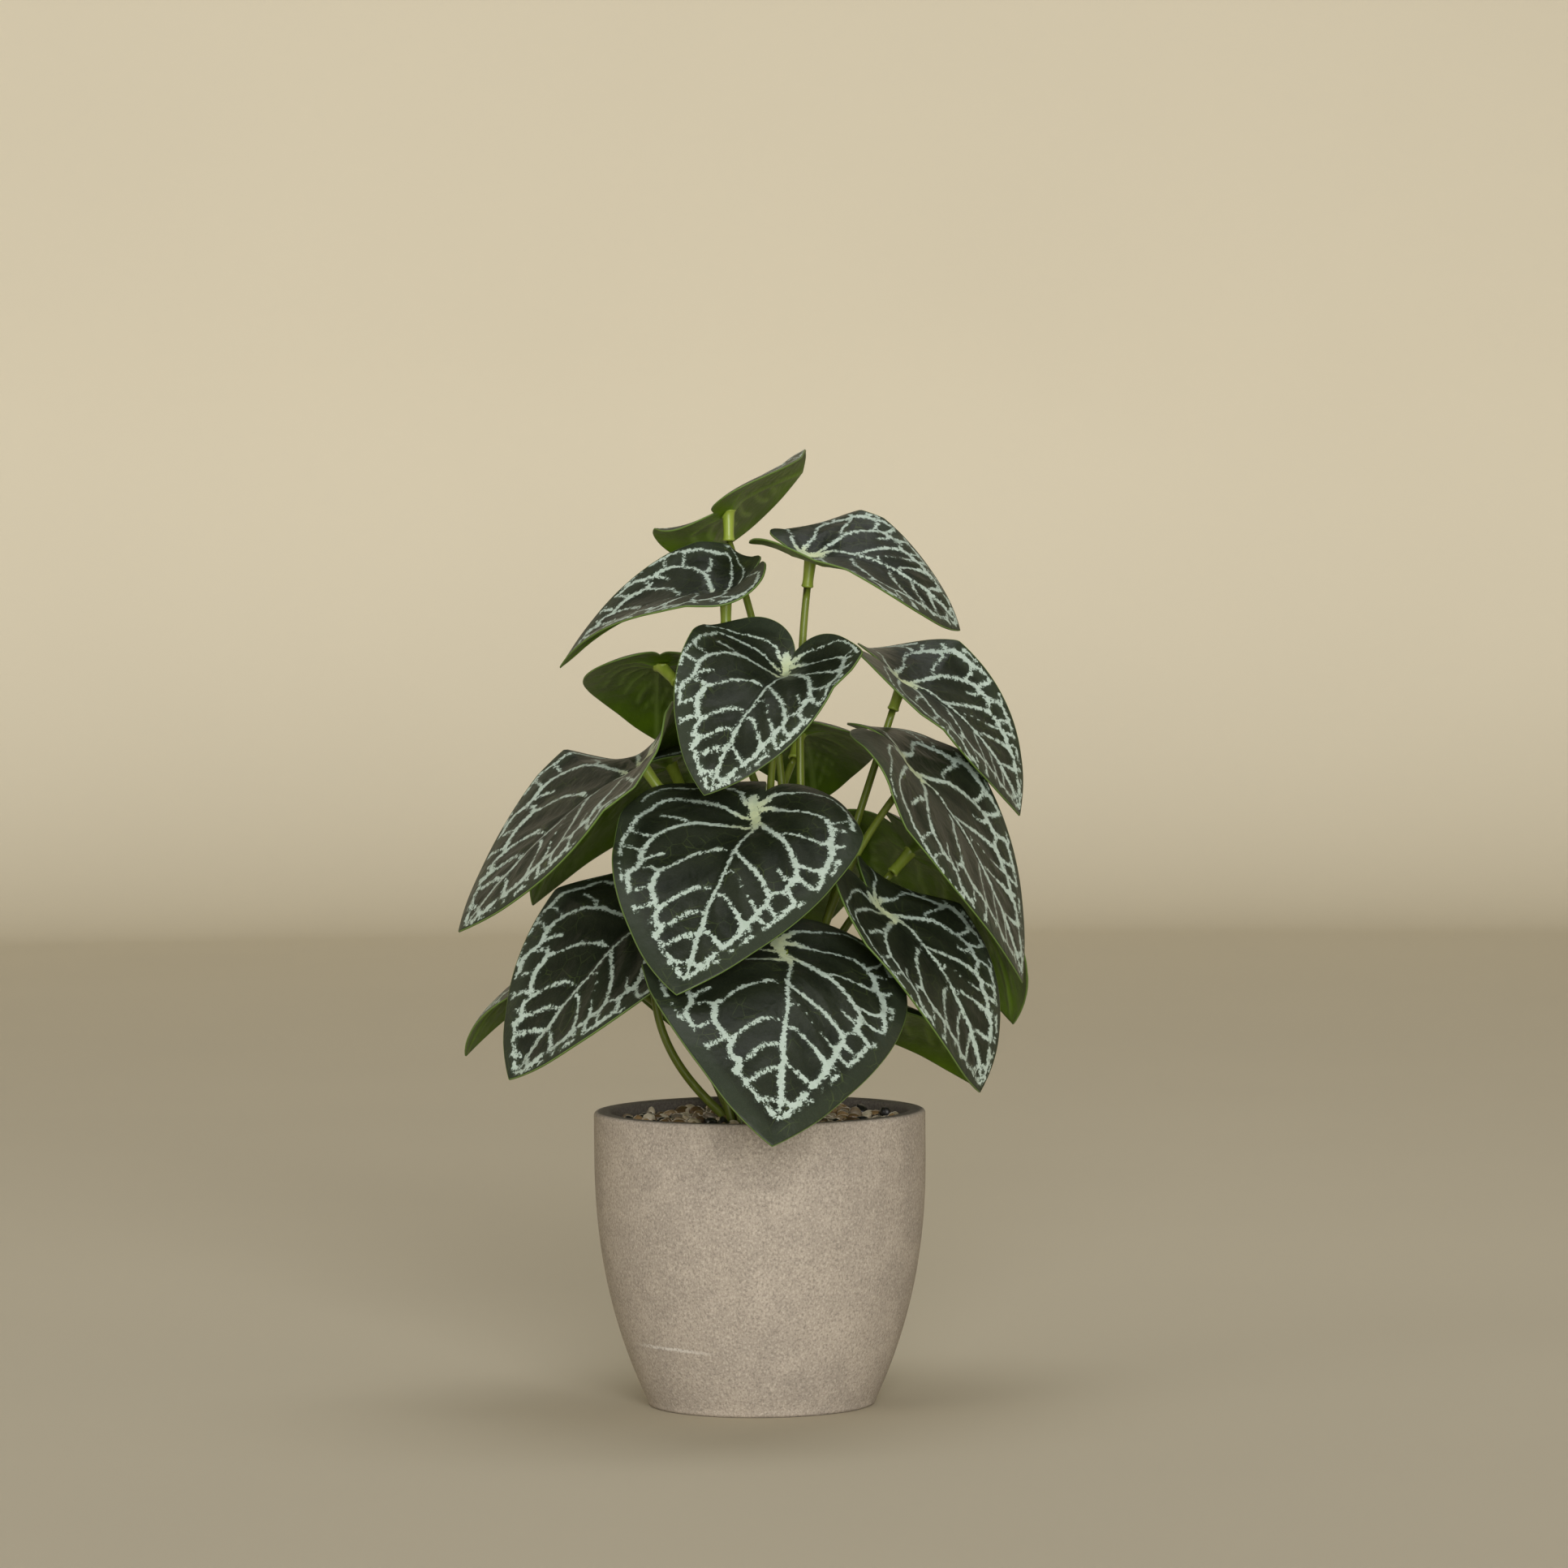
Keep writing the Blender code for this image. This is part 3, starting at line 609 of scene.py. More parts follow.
def polar_faces(first, sides, rings, hub):
    """Triangles of a polar grid: a fan about the hub, and two triangles for each cell of the rings."""
    k, n = around(sides)
    fan = np.stack([np.full(sides, hub), first + k, first + n], 1)
    ring = np.arange(rings - 1)[:, None] * sides + first
    a, b = (ring + k).ravel(), (ring + n).ravel()
    cells = np.concatenate([np.stack([a, a + sides, b + sides], 1), np.stack([a, b + sides, b], 1)])
    return np.concatenate([fan, cells])


def tube_faces(sides, rings):
    """Triangles of a closed tube: a polar grid turned outwards about the first hub, and a fan about the
    last. The two hubs are the last two points."""
    k, n = around(sides)
    last = rings * sides
    cap = np.stack([np.full(sides, last + 1), last - sides + k, last - sides + n], 1)
    return np.concatenate([polar_faces(0, sides, rings, last)[:, ::-1], cap])


def turned_rings(profile, sides):
    """The points of a (radius, height) profile, each turned about the upright axis into a ring."""
    turn = np.arange(sides) / sides * 2 * np.pi
    rings = [
        profile[:, :1] * np.cos(turn),
        profile[:, :1] * np.sin(turn),
        np.repeat(profile[:, 1:], sides, axis=1),
    ]
    return np.stack(rings, -1).reshape(-1, 3)


def point_normals(points, faces):
    a, b, c = (points[faces[:, i]] for i in range(3))
    cross = np.cross(b - a, c - a)
    normals = np.zeros_like(points)
    for i in range(3):
        np.add.at(normals, faces[:, i], cross)
    return unit(normals)


def new_piece(name, points, faces, material, values=None):
    """A mesh object in place, smooth all over, with a float attribute for each named array of values."""
    mesh = bpy.data.meshes.new(name)
    mesh.from_pydata(points.tolist(), [], faces.tolist())
    mesh.materials.append(material)
    mesh.polygons.foreach_set("use_smooth", np.ones(len(mesh.polygons), bool))
    for key, array in (values or {}).items():
        mesh.attributes.new(key, "FLOAT", "POINT").data.foreach_set("value", array.astype(np.float32))
    mesh.update()
    made = bpy.data.objects.new(name, mesh)
    bpy.context.scene.collection.objects.link(made)
    return made


def cover(piece, node):
    """Hands a finished piece over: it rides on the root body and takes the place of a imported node."""
    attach(piece, "root")
    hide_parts(node)


def blade_layer(pose, angles, shares):
    """One face of a blade before its thickness: the hub and the rings of a polar grid, flat and bent."""
    radius = outline_radius(angles)
    along = np.concatenate([[0], (shares[:, None] * radius * np.cos(angles)).ravel()])
    across = np.concatenate([[0], (shares[:, None] * radius * np.sin(angles)).ravel()])
    faces = polar_faces(1, len(angles), len(shares), 0)
    points = bend(pose, along, across)
    margin = np.concatenate([[1.0], ((1 - shares[:, None]) * radius).ravel()])
    return np.stack([along, across], 1), points, faces, margin


def hump(distance, width):
    """A bell curve of the distance: 1 in the middle, and a third of that at the width."""
    return np.exp(-((distance / width) ** 2))


def relief(flat, margin, size):
    """Height of the moulded surface in millimetres: creases sink along the veins, the fields between them
    swell, and both fade out towards the margin. Also the fade, and the distances from crease and midrib."""
    near, rib = crease_distance(flat)
    near, rib = near * size, rib * size
    fade = np.clip(margin * size / RELIEF_FADE, 0, 1)
    swell = SWELL * (1 - hump(near, SWELL_WIDTH))
    return fade, fade * (swell - SWELL_DROP - GROOVE * hump(rib, GROOVE_WIDTH)), near, rib


def make_blade(key, pose, settings, material, strokes):
    """A thin shell about the bent blade: its upper face carries the moulded relief and the print, and its
    lower face follows it with raised ribs. Both share the rim's spokes, and a narrow band closes it."""
    fine = int(key) <= FRONT_COUNT
    spokes = settings.front_spokes if fine else settings.rear_spokes
    rings = settings.front_rings if fine else settings.rear_rings
    size = blade_length(pose) / MM
    angles = spoke_angles(spokes)
    layers = []
    for side, count in ((1, rings), (-1, rings // 3)):
        shares = np.sort(np.append(np.linspace(0, 1, count + 1)[1:], EDGE_SHARE))
        flat, points, faces, margin = blade_layer(pose, angles, shares)
        normals = point_normals(points, faces)
        fade, height, near, rib = relief(flat, margin, size)
        if side < 0:
            ribs = RIB * hump(rib, RIB_WIDTH) * np.clip(1.1 - flat[:, 0], 0, 1)
            height = height - fade * (ribs + VEIN * hump(near, VEIN_WIDTH))
        points = points + normals * (side * settings.thickness / 2 + height[:, None] * settings.relief * MM)
        values = {
            "side": np.full(len(points), side > 0),
            "along": flat[:, 0],
            "across": flat[:, 1],
            "margin": margin * size,
            "print_depth": print_depth(flat / PRINT_SPREAD.get(key, USUAL_SPREAD), strokes) * size,
            "crease": near,
        }
        layers.append((points, faces, values))
    (top, top_faces, above), (low, low_faces, below) = layers
    k, n = around(spokes)
    rim_top = len(top) - spokes + k
    rim_low = len(top) + len(low) - spokes + k
    band = [np.stack([rim_top, rim_low, rim_low[n]], 1), np.stack([rim_top, rim_low[n], rim_top[n]], 1)]
    faces = np.concatenate([top_faces, low_faces[:, ::-1] + len(top), *band])
    values = {name: np.concatenate([above[name], below[name]]) for name in above}
    piece = new_piece(f"blade_{key}", np.concatenate([top, low]), faces, material, values)
    cover(piece, f"leaf_{key}_blade")


def sweep(centres, headings, radii, sides, ahead):
    """Rings about a path: each is a circle of the given radius, square to the path's heading. Faces join
    each ring to the next, and a fan closes both ends."""
    headings = unit(headings)
    side = unit(np.cross(headings, ahead))
    forth = np.cross(side, headings)
    turn = np.arange(sides) / sides * 2 * np.pi
    ring = np.cos(turn)[None, :, None] * forth[:, None] + np.sin(turn)[None, :, None] * side[:, None]
    points = centres[:, None] + radii[:, None, None] * ring
    points = np.concatenate([points.reshape(-1, 3), centres[:1], centres[-1:]])
    return points, tube_faces(sides, len(centres))


def hub_normal(pose):
    """Unit vector out of the upper face where the stalk joins."""
    step = 0.02
    ends = bend(pose, np.array([step, -step, 0, 0]), np.array([0, 0, step, -step]))
    return unit(np.cross(ends[0] - ends[1], ends[2] - ends[3]))


def make_stem(key, pose, root, settings, material):
    """A stem that tapers upwards, then a sleeve with a rounded lower lip that flares out under the blade.
    Where the flare would pass through the blade, it is cut back along the sleeve to the underside."""
    path, sleeve_foot, heading = stalk_curve(pose, root, settings.steps)
    count = len(path)
    headings = np.gradient(path, axis=0)
    headings[0] = UP
    headings[-1] = heading
    radii = np.interp(np.arange(count), [0, count - 1], [STEM_FOOT_RADIUS, STEM_TOP_RADIUS])
    lift, lips = np.array(SLEEVE_RINGS).T * MM
    path = np.concatenate([path, sleeve_foot + heading * lift[:, None]])
    headings = np.concatenate([headings, np.tile(heading, (len(lift), 1))])
    radii = np.concatenate([radii, lips])
    points, faces = sweep(path, headings, radii, settings.sides, pose["tip"] - pose["base"])
    outward = hub_normal(pose)
    below = (points - pose["base"]) @ outward + SLEEVE_GAP
    points -= heading * np.clip(below / max(heading @ outward, 0.3), 0, None)[:, None]
    sleeve = np.concatenate([np.zeros(count), np.ones(len(lift))])
    height = np.concatenate([np.linspace(0, 1, count), np.ones(len(lift))])
    values = {
        "sleeve": np.concatenate([np.repeat(sleeve, settings.sides), [0, 1]]),
        "height": np.concatenate([np.repeat(height, settings.sides), [0, 1]]),
    }
    cover(new_piece(f"stem_{key}", points, faces, material, values), f"leaf_{key}_stalk")


def outer_radius(z):
    """Radius of the pot's outside at a height: it draws in towards the foot by a power of the depth."""
    depth = np.clip(1 - z / BODY_HEIGHT, 0, 1)
    return POT_RADIUS - (POT_RADIUS - FOOT_RADIUS) * depth**BODY_POWER


def rounded(centre, radius, start, end, count):
    """Points on an arc of a (radius, height) profile, between two angles in degrees."""
    turn = np.radians(np.linspace(start, end, count))
    return np.stack([centre[0] + radius * np.cos(turn), centre[1] + radius * np.sin(turn)], 1)


def pot_profile(rows):
    """The pot's half section, from the middle of the foot up the outside, over the rim and down inside."""
    high = POT_HEIGHT - RIM_ROUND
    rise = np.linspace(FOOT_ROUND, high, rows)
    outside = np.stack([outer_radius(rise), rise], 1)
    drop = np.linspace(high, POT_FLOOR + 2 * MM, rows // 2)
    inside = np.stack([outer_radius(drop) - POT_WALL, drop], 1)
    foot_centre = (outer_radius(FOOT_ROUND) - FOOT_ROUND, FOOT_ROUND)
    lip = RIM_ROUND
    return np.concatenate(
        [
            [[12 * MM, 0], [30 * MM, 0]],
            rounded(foot_centre, FOOT_ROUND, -90, -15, 6),
            outside,
            rounded((POT_RADIUS - lip, high), lip, 10, 90, 6),
            rounded((POT_RADIUS - POT_WALL + lip, high), lip, 90, 170, 6),
            inside,
            [[inside[-1][0] - 2 * MM, POT_FLOOR], [20 * MM, POT_FLOOR]],
        ]
    )


def turned_surface(profile, sides):
    """The profile's points turned about the upright axis, closed on the axis at both ends."""
    ends = [[0, 0, profile[0, 1]], [0, 0, profile[-1, 1]]]
    return np.concatenate([turned_rings(profile, sides), ends]), tube_faces(sides, len(profile))


def stone_shapes(count, rng):
    """Stones: a ball of eighty faces, stretched, cut flat by four random planes and turned at random."""
    made = bmesh.new()
    bmesh.ops.create_icosphere(made, subdivisions=2, radius=1)
    ball = np.array([vertex.co for vertex in made.verts])
    faces = np.array([[vertex.index for vertex in face.verts] for face in made.faces])
    made.free()
    points = np.repeat(ball[None], count, axis=0)
    for _ in range(4):
        plane = unit(rng.normal(size=(count, 1, 3)))
        depth = rng.uniform(0.55, 0.85, (count, 1, 1))
        beyond = np.clip((points * plane).sum(-1, keepdims=True) - depth, 0, None)
        points = points - beyond * plane * 0.9
    points = points * rng.uniform([0.85, 0.7, 0.5], [1.25, 0.95, 0.75], (count, 3))[:, None]
    spin = rng.normal(size=(count, 4)) * (1, 0.35, 0.35, 1)
    w, x, y, z = unit(spin).T
    turn = np.array(
        [
            [1 - 2 * (y * y + z * z), 2 * (x * y - z * w), 2 * (x * z + y * w)],
            [2 * (x * y + z * w), 1 - 2 * (x * x + z * z), 2 * (y * z - x * w)],
            [2 * (x * z - y * w), 2 * (y * z + x * w), 1 - 2 * (x * x + y * y)],
        ]
    ).transpose(2, 0, 1)
    return np.einsum("nij,nkj->nki", turn, points), faces


class Wired:
    """A node's socket, on which Python's operators add Math nodes."""

    def __init__(self, shader, socket):
        self.shader = shader
        self.socket = socket

    def math(self, operation, *values):
        return self.shader.node("ShaderNodeMath", {"operation": operation}, dict(enumerate(values)))

    def __add__(self, other):
        return self.math("ADD", self, other)

    def __radd__(self, other):
        return self.math("ADD", other, self)

    def __sub__(self, other):
        return self.math("SUBTRACT", self, other)

    def __rsub__(self, other):
        return self.math("SUBTRACT", other, self)

    def __mul__(self, other):
        return self.math("MULTIPLY", self, other)

    def __rmul__(self, other):
        return self.math("MULTIPLY", other, self)

    def __pow__(self, other):
        return self.math("POWER", self, other)

    def step(self, low, high):
        """Runs smoothly from 0 at low to 1 at high."""
        values = {"Value": self, "From Min": low, "From Max": high}
        return self.shader.node("ShaderNodeMapRange", {"interpolation_type": "SMOOTHSTEP"}, values)


class Shader:
    """A material under construction: it adds nodes and ends in a Principled BSDF."""

    def __init__(self, name):
        self.material = bpy.data.materials.new(name)
        self.material.use_nodes = True
        self.tree = self.material.node_tree
        self.surface = self.tree.nodes["Principled BSDF"]

    def node(self, kind, settings=None, values=None, out=0):
        """Adds a node, sets its settings, then its sockets' values or links, and gives one output."""
        made = self.tree.nodes.new(kind)
        for key, value in (settings or {}).items():
            if key == "stops":
                self.set_stops(made.color_ramp, value)
            else:
                setattr(made, key, value)
        for key, value in (values or {}).items():
            self.plug(made.inputs[key], value)
        return Wired(self, made.outputs[out])

    def set_stops(self, ramp, stops):
        while len(ramp.elements) < len(stops):
            ramp.elements.new(1.0)
        for element, (place, color) in zip(ramp.elements, stops):
            element.position = place
            element.color = (*color, 1.0)

    def plug(self, socket, value):
        if isinstance(value, Wired):
            self.tree.links.new(value.socket, socket)
        elif socket.type == "RGBA":
            socket.default_value = (*value, 1.0)
        else:
            socket.default_value = value

    def place(self):
        return self.node("ShaderNodeTexCoord", out="Object")

    def value(self, name):
        return self.node("ShaderNodeAttribute", {"attribute_name": name}, out="Fac")

    def noise(self, scale, detail=3, rough=0.5, stretch=None, shift=0):
        """Fractal noise about 0.5 in object coordinates, in features per metre, stretched along an axis."""
        where = self.place()
        if stretch is not None or shift:
            values = {0: where, "Location": (shift,) * 3, "Scale": stretch or (1, 1, 1)}
            where = self.node("ShaderNodeMapping", values=values)
        values = {"Vector": where, "Scale": scale, "Detail": detail, "Roughness": rough}
        return self.node("ShaderNodeTexNoise", values=values)

    def cells(self, scale, feature="F1"):
        """Distance to the nearest of scattered points, or to the nearest cell edge."""
        values = {"Vector": self.place(), "Scale": scale}
        return self.node("ShaderNodeTexVoronoi", {"feature": feature}, values, "Distance")

    def mix(self, share, first, second):
        return self.node("ShaderNodeMix", {"data_type": "RGBA"}, {0: share, 6: first, 7: second}, 2)

    def blend(self, share, first, second):
        """A number between two numbers."""
        return self.node("ShaderNodeMix", {"data_type": "FLOAT"}, {0: share, 2: first, 3: second}, 0)

    def ramp(self, share, stops):
        return self.node("ShaderNodeValToRGB", {"stops": stops}, {0: share}, "Color")

    def axis(self, which):
        return self.node("ShaderNodeSeparateXYZ", values={0: self.place()}, out=which)

    def bump(self, height, strength, distance, over=None):
        values = {"Height": height, "Strength": strength, "Distance": distance}
        if over is not None:
            values["Normal"] = over
        return self.node("ShaderNodeBump", values=values)

    def finish(self, color, roughness, normal=None, **fixed):
        self.plug(self.surface.inputs["Base Color"], color)
        self.plug(self.surface.inputs["Roughness"], roughness)
        if normal is not None:
            self.plug(self.surface.inputs["Normal"], normal)
        for key, value in fixed.items():
            self.plug(self.surface.inputs[key.replace("_", " ")], value)
        return self.material


def leaf_material(colors):
    """Printed cloth: near-black green with a silvery net above, plain green with ribs below."""
    s = Shader("printed_leaf")
    side = s.value("side").step(0.4, 0.6)
    margin = s.value("margin")
    along = s.value("along")
    across = s.value("across")
    crease = s.value("crease")
    ragged = (s.noise(620, 2, 0.6) - 0.5) * 3.2 + (s.noise(1600, 2, 0.7, shift=3) - 0.5) * 2.6
    inside = s.value("print_depth") + ragged + 0.1
    silver = inside.step(-0.08, 0.1)
    pale = inside.step(-0.7, 0.1) * 0.2
    broad = s.noise(45, 3, 0.55, shift=1)
    weave = s.noise(3200, 2, 0.5, shift=2)
    # Painted shade: the ground is painted darker along the moulded creases, fading out over 7 mm from them.
    field = crease.step(0, 7)
    ground = s.mix(field, colors.leaf_crease_shade, colors.leaf_mid)
    ground = s.mix(broad.step(0.35, 0.75) * 0.6, ground, colors.leaf_light)
    # The plain border outside the net is real; its lighter grey-green is painted sheen.
    band = (1 - margin.step(5.5, 11)) * (margin.step(0, 1))
    ground = s.mix(band * 0.5, ground, colors.border_and_sheen)
    hair = 1 - s.cells(150, "DISTANCE_TO_EDGE").step(0.0, 0.022)
    hair = hair * s.noise(60, 2, 0.5, shift=5).step(0.45, 0.62)
    ground = s.mix(hair * 0.35, ground, (0.12, 0.17, 0.04))
    ground = s.mix(weave.step(0.35, 0.7) * 0.12, ground, (0.10, 0.12, 0.08))
    hub = 1 - ((along * along + across * across * 2.5) ** 0.5).step(0.03, 0.2)
    ink = s.mix(hub, colors.silver, colors.cream)
    ink = s.mix(s.noise(420, 2, 0.5, shift=7).step(0.35, 0.7) * 0.35, ink, colors.silver_dull)
    upper = s.mix(pale, ground, colors.silver_dull)
    upper = s.mix(silver, upper, ink)
    edge = 1 - margin.step(0.1, 0.45)
    upper = s.mix(edge, upper, colors.edge)
    rib = 1 - crease.step(0.3, 2.2)
    under = s.mix(broad.step(0.3, 0.7), colors.under_dark, colors.under)
    under = s.mix(rib * 0.55, under, colors.under_rib)
    under = s.mix(edge * 0.6, under, colors.edge)
    color = s.mix(side, under, upper)
    grain = s.bump(weave, 0.12, 0.0004)
    veins = s.bump(silver * side, 0.15, 0.0003, grain)
    folds = s.bump(s.noise(160, 3, 0.5, stretch=(1, 1, 0.6), shift=9), 0.5, 0.0016, veins)
    roughness = s.blend(silver * side, 0.42, 0.52) + (weave - 0.5) * 0.1
    return s.finish(color, roughness, folds, Specular_IOR_Level=0.25)


def stem_material(colors):
    """Soft moulded plastic: olive stems, browner at the foot, and a yellow-green sleeve."""
    s = Shader("stem_plastic")
    sleeve = s.value("sleeve").step(0.3, 0.7)
    height = s.value("height")
    streaks = s.noise(260, 3, 0.6, stretch=(1, 1, 0.15), shift=2)
    stem = s.mix(height.step(0.0, 0.8), colors.stem_foot, colors.stem)
    stem = s.mix(streaks.step(0.4, 0.75) * 0.5, stem, colors.stem_light)
    tip = s.mix(streaks.step(0.3, 0.8) * 0.6, colors.sleeve, colors.sleeve_light)
    color = s.mix(sleeve, stem, tip)
    rough = 0.36 + (streaks - 0.5) * 0.2
    return s.finish(color, rough, s.bump(streaks, 0.25, 0.0006))


def concrete_material(colors):
    """Concrete look: warm grey with fine grain, cloudy darker patches, pits, and one pale scratch; the top of
    the rim and the inside wall are painted darker as painted shade.
    """
    s = Shader("concrete")
    inner = s.value("inner").step(0.3, 0.7)
    cloud = s.noise(22, 4, 0.55, shift=4)
    patch = s.noise(70, 4, 0.6, shift=8)
    grain = s.noise(1100, 4, 0.75, stretch=(1, 1, 0.8), shift=1)
    dust = s.noise(2400, 2, 0.6, shift=6)
    color = s.mix(cloud.step(0.35, 0.7), colors.pot_dark, colors.pot)
    color = s.mix(patch.step(0.42, 0.68) * 0.6, color, colors.pot_light)
    color = s.mix((1 - grain.step(0.36, 0.5)) * 0.75, color, colors.pot_grain)
    color = s.mix(grain.step(0.52, 0.66) * 0.6, color, colors.pot_bright)
    color = s.mix(dust.step(0.58, 0.7) * 0.45, color, colors.pot_bright)
    x, z = s.axis("X"), s.axis("Z")
    dark = 1 - s.cells(240).step(0.06, 0.16)
    high = z.step(0.098, 0.112) * (1 - inner)
    pits = dark * s.noise(75, 2, 0.5, shift=11).step(0.52, 0.66) * high
    color = s.mix(pits * 0.85, color, colors.pot_pit)
    tilt = z + x * 0.05 + (s.noise(120, 2, 0.5, shift=13) - 0.5) * 0.0024
    line = (1 - tilt.math("ABSOLUTE", tilt - 0.0262).step(0.0002, 0.0011)) * (x + 0.052).step(0, 0.008)
    line = line * (1 - (x + 0.034).step(0, 0.018)) * grain.step(0.38, 0.5) * s.axis("Y").step(0.0, -0.01)
    color = s.mix(line * 0.75, color, colors.pot_scratch)
    # Painted shade: the top of the rim and the inside wall take a tone about half as bright as the outside.
    inside = s.mix(grain.step(0.35, 0.65), colors.rim_shade_grain, colors.rim)
    color = s.mix(inner, color, inside)
    height = grain * 0.6 + dust * 0.25 - pits * 1.5
    roughness = 0.82 + (grain - 0.5) * 0.2
    return s.finish(color, roughness, s.bump(height, 0.3, 0.0005), Specular_IOR_Level=0.35)


def stone_material():
    """Small river stones under clear glue: each has its own tone, from black and brown to cream."""
    s = Shader("glued_stones")
    tone = s.value("tone")
    veins = s.noise(420, 4, 0.6, shift=3)
    stops = [
        (0.0, (0.008, 0.008, 0.008)),
        (0.13, (0.02, 0.017, 0.014)),
        (0.2, (0.12, 0.072, 0.03)),
        (0.42, (0.27, 0.165, 0.07)),
        (0.6, (0.40, 0.27, 0.13)),
        (0.78, (0.17, 0.14, 0.105)),
        (0.9, (0.55, 0.45, 0.29)),
        (1.0, (0.68, 0.60, 0.45)),
    ]
    color = s.ramp(tone + (veins - 0.5) * 0.16, stops)
    color = s.mix(s.noise(1500, 2, 0.6, shift=5).step(0.5, 0.75) * 0.3, color, (0.05, 0.035, 0.02))
    rough = s.blend(veins.step(0.3, 0.7), 0.35, 0.5)
    return s.finish(color, rough, s.bump(veins, 0.3, 0.0006), Coat_Weight=0.6, Coat_Roughness=0.12)


def filler_material():
    """Dark foam with a fine open grain."""
    s = Shader("foam_plug")
    grain = s.noise(700, 4, 0.7)
    color = s.mix(grain.step(0.35, 0.65), (0.05, 0.04, 0.03), (0.16, 0.13, 0.1))
    return s.finish(color, 0.95, s.bump(grain, 0.5, 0.001))


def stage_material(color):
    """Matt paint with a faint cloudy change of tone."""
    s = Shader("studio_floor")
    tone = s.noise(3, 2, 0.5)
    shade = s.mix(tone.step(0.3, 0.7) * 0.25, color, color * 0.94)
    return s.finish(shade, 0.85, Specular_IOR_Level=0.2)


def tint(name, words, default):
    return bpy.props.FloatVectorProperty(
        name=name, description=words, subtype="COLOR", size=3, min=0, max=1, default=default
    )


def whole(name, words, default):
    return bpy.props.IntProperty(name=name, description=words, default=default, min=3)


def power(name, words, default):
    return bpy.props.FloatProperty(name=name, description=words, default=default, min=0)


class PLANT_PG_blades(bpy.types.PropertyGroup):
    thickness: bpy.props.FloatProperty(
        name="Thickness", description="Thickness of a blade", default=0.7 * MM, unit="LENGTH"
    )
    relief: bpy.props.FloatProperty(
        name="Relief", description="Depth of the moulded creases and swells", default=1.0, min=0, max=3
    )
    front_spokes: whole("Front spokes", "Points round the outline of a front leaf", 288)
    front_rings: whole("Front rings", "Rings from hub to outline on a front leaf", 56)
    rear_spokes: whole("Rear spokes", "Points round the outline of a rear leaf", 192)
    rear_rings: whole("Rear rings", "Rings from hub to outline on a rear leaf", 36)
    # The darker ground along the creases is painted shade, not a tone of the print.
    leaf_crease_shade: tint("Ground, at creases", "Print ground along the creases", (0.006, 0.009, 0.004))
    leaf_mid: tint("Ground", "Print ground between the creases", (0.012, 0.016, 0.008))
    leaf_light: tint("Ground, pale", "Paler clouds of the print ground", (0.024, 0.030, 0.016))
    # The border tone is the plain border lightened by painted sheen.
    border_and_sheen: tint("Border", "Plain border outside the net", (0.034, 0.046, 0.027))
    silver: tint("Silver", "Net of printed veins", (0.47, 0.56, 0.49))
    silver_dull: tint("Silver, dull", "Thin places of the printed net", (0.34, 0.44, 0.34))
    cream: tint("Cream", "Print over the stalk", (0.54, 0.60, 0.36))
    edge: tint("Edge", "Cut edge of the blade", (0.12, 0.19, 0.045))
    under: tint("Underside", "Plain underside", (0.085, 0.155, 0.004))
    under_dark: tint("Underside, dark", "Darker clouds of the underside", (0.048, 0.090, 0.002))
    under_rib: tint("Ribs", "Raised ribs of the underside", (0.16, 0.25, 0.04))


class PLANT_PG_stems(bpy.types.PropertyGroup):
    sides: whole("Sides", "Points round a stem", 16)
    steps: whole("Steps", "Rings along a stem", 44)
    stem: tint("Stem", "Upper part of a stem", (0.14, 0.18, 0.018))
    stem_light: tint("Stem, streaks", "Paler streaks of a stem", (0.22, 0.27, 0.045))
    stem_foot: tint("Stem, foot", "Lower part of a stem", (0.12, 0.15, 0.018))
    sleeve: tint("Sleeve", "Sleeve under a blade", (0.24, 0.33, 0.03))
    sleeve_light: tint("Sleeve, pale", "Paler streaks of a sleeve", (0.38, 0.45, 0.08))


class PLANT_PG_pot(bpy.types.PropertyGroup):
    sides: whole("Sides", "Points round the pot", 224)
    rows: whole("Rows", "Rings up the pot's outside", 70)
    pot: tint("Concrete", "Main tone of the pot", (0.40, 0.345, 0.28))
    pot_dark: tint("Concrete, dark", "Darker clouds", (0.33, 0.285, 0.235))
    pot_light: tint("Concrete, pale", "Paler clouds", (0.45, 0.39, 0.32))
    pot_grain: tint("Grain, dark", "Dark grain", (0.20, 0.17, 0.14))
    pot_bright: tint("Grain, pale", "Pale grain", (0.60, 0.53, 0.44))
    pot_pit: tint("Pits", "Small pits near the rim", (0.12, 0.10, 0.09))
    pot_scratch: tint("Scratch", "Pale scratch low on the front", (0.66, 0.62, 0.56))
    # The rim top and inside wall tones are painted shade inside the pot, not a different concrete.
    rim: tint("Rim", "Top of the rim and inside wall", (0.20, 0.175, 0.145))
    rim_shade_grain: tint("Rim, dark", "Dark grain of the inside wall", (0.12, 0.105, 0.085))


class PLANT_PG_gravel(bpy.types.PropertyGroup):
    count: whole("Stones", "Number of stones", 400)
    size: bpy.props.FloatProperty(
        name="Size", description="Mean radius of a stone", default=4.0 * MM, unit="LENGTH"
    )
    seed: bpy.props.IntProperty(name="Seed", description="Draw of the stones", default=21)


class PLANT_PG_stage(bpy.types.PropertyGroup):
    floor: tint("Floor", "Floor and backdrop", (0.57, 0.515, 0.395))
    key: power("Key light", "Strength in watts a square metre", 2.5)
    fill: power("Fill light", "Power in watts", 7.0)
    wall: power("Wall lights", "Power in watts of each", 20.0)
    sky: power("Sky", "Strength of the even light", 0.12)


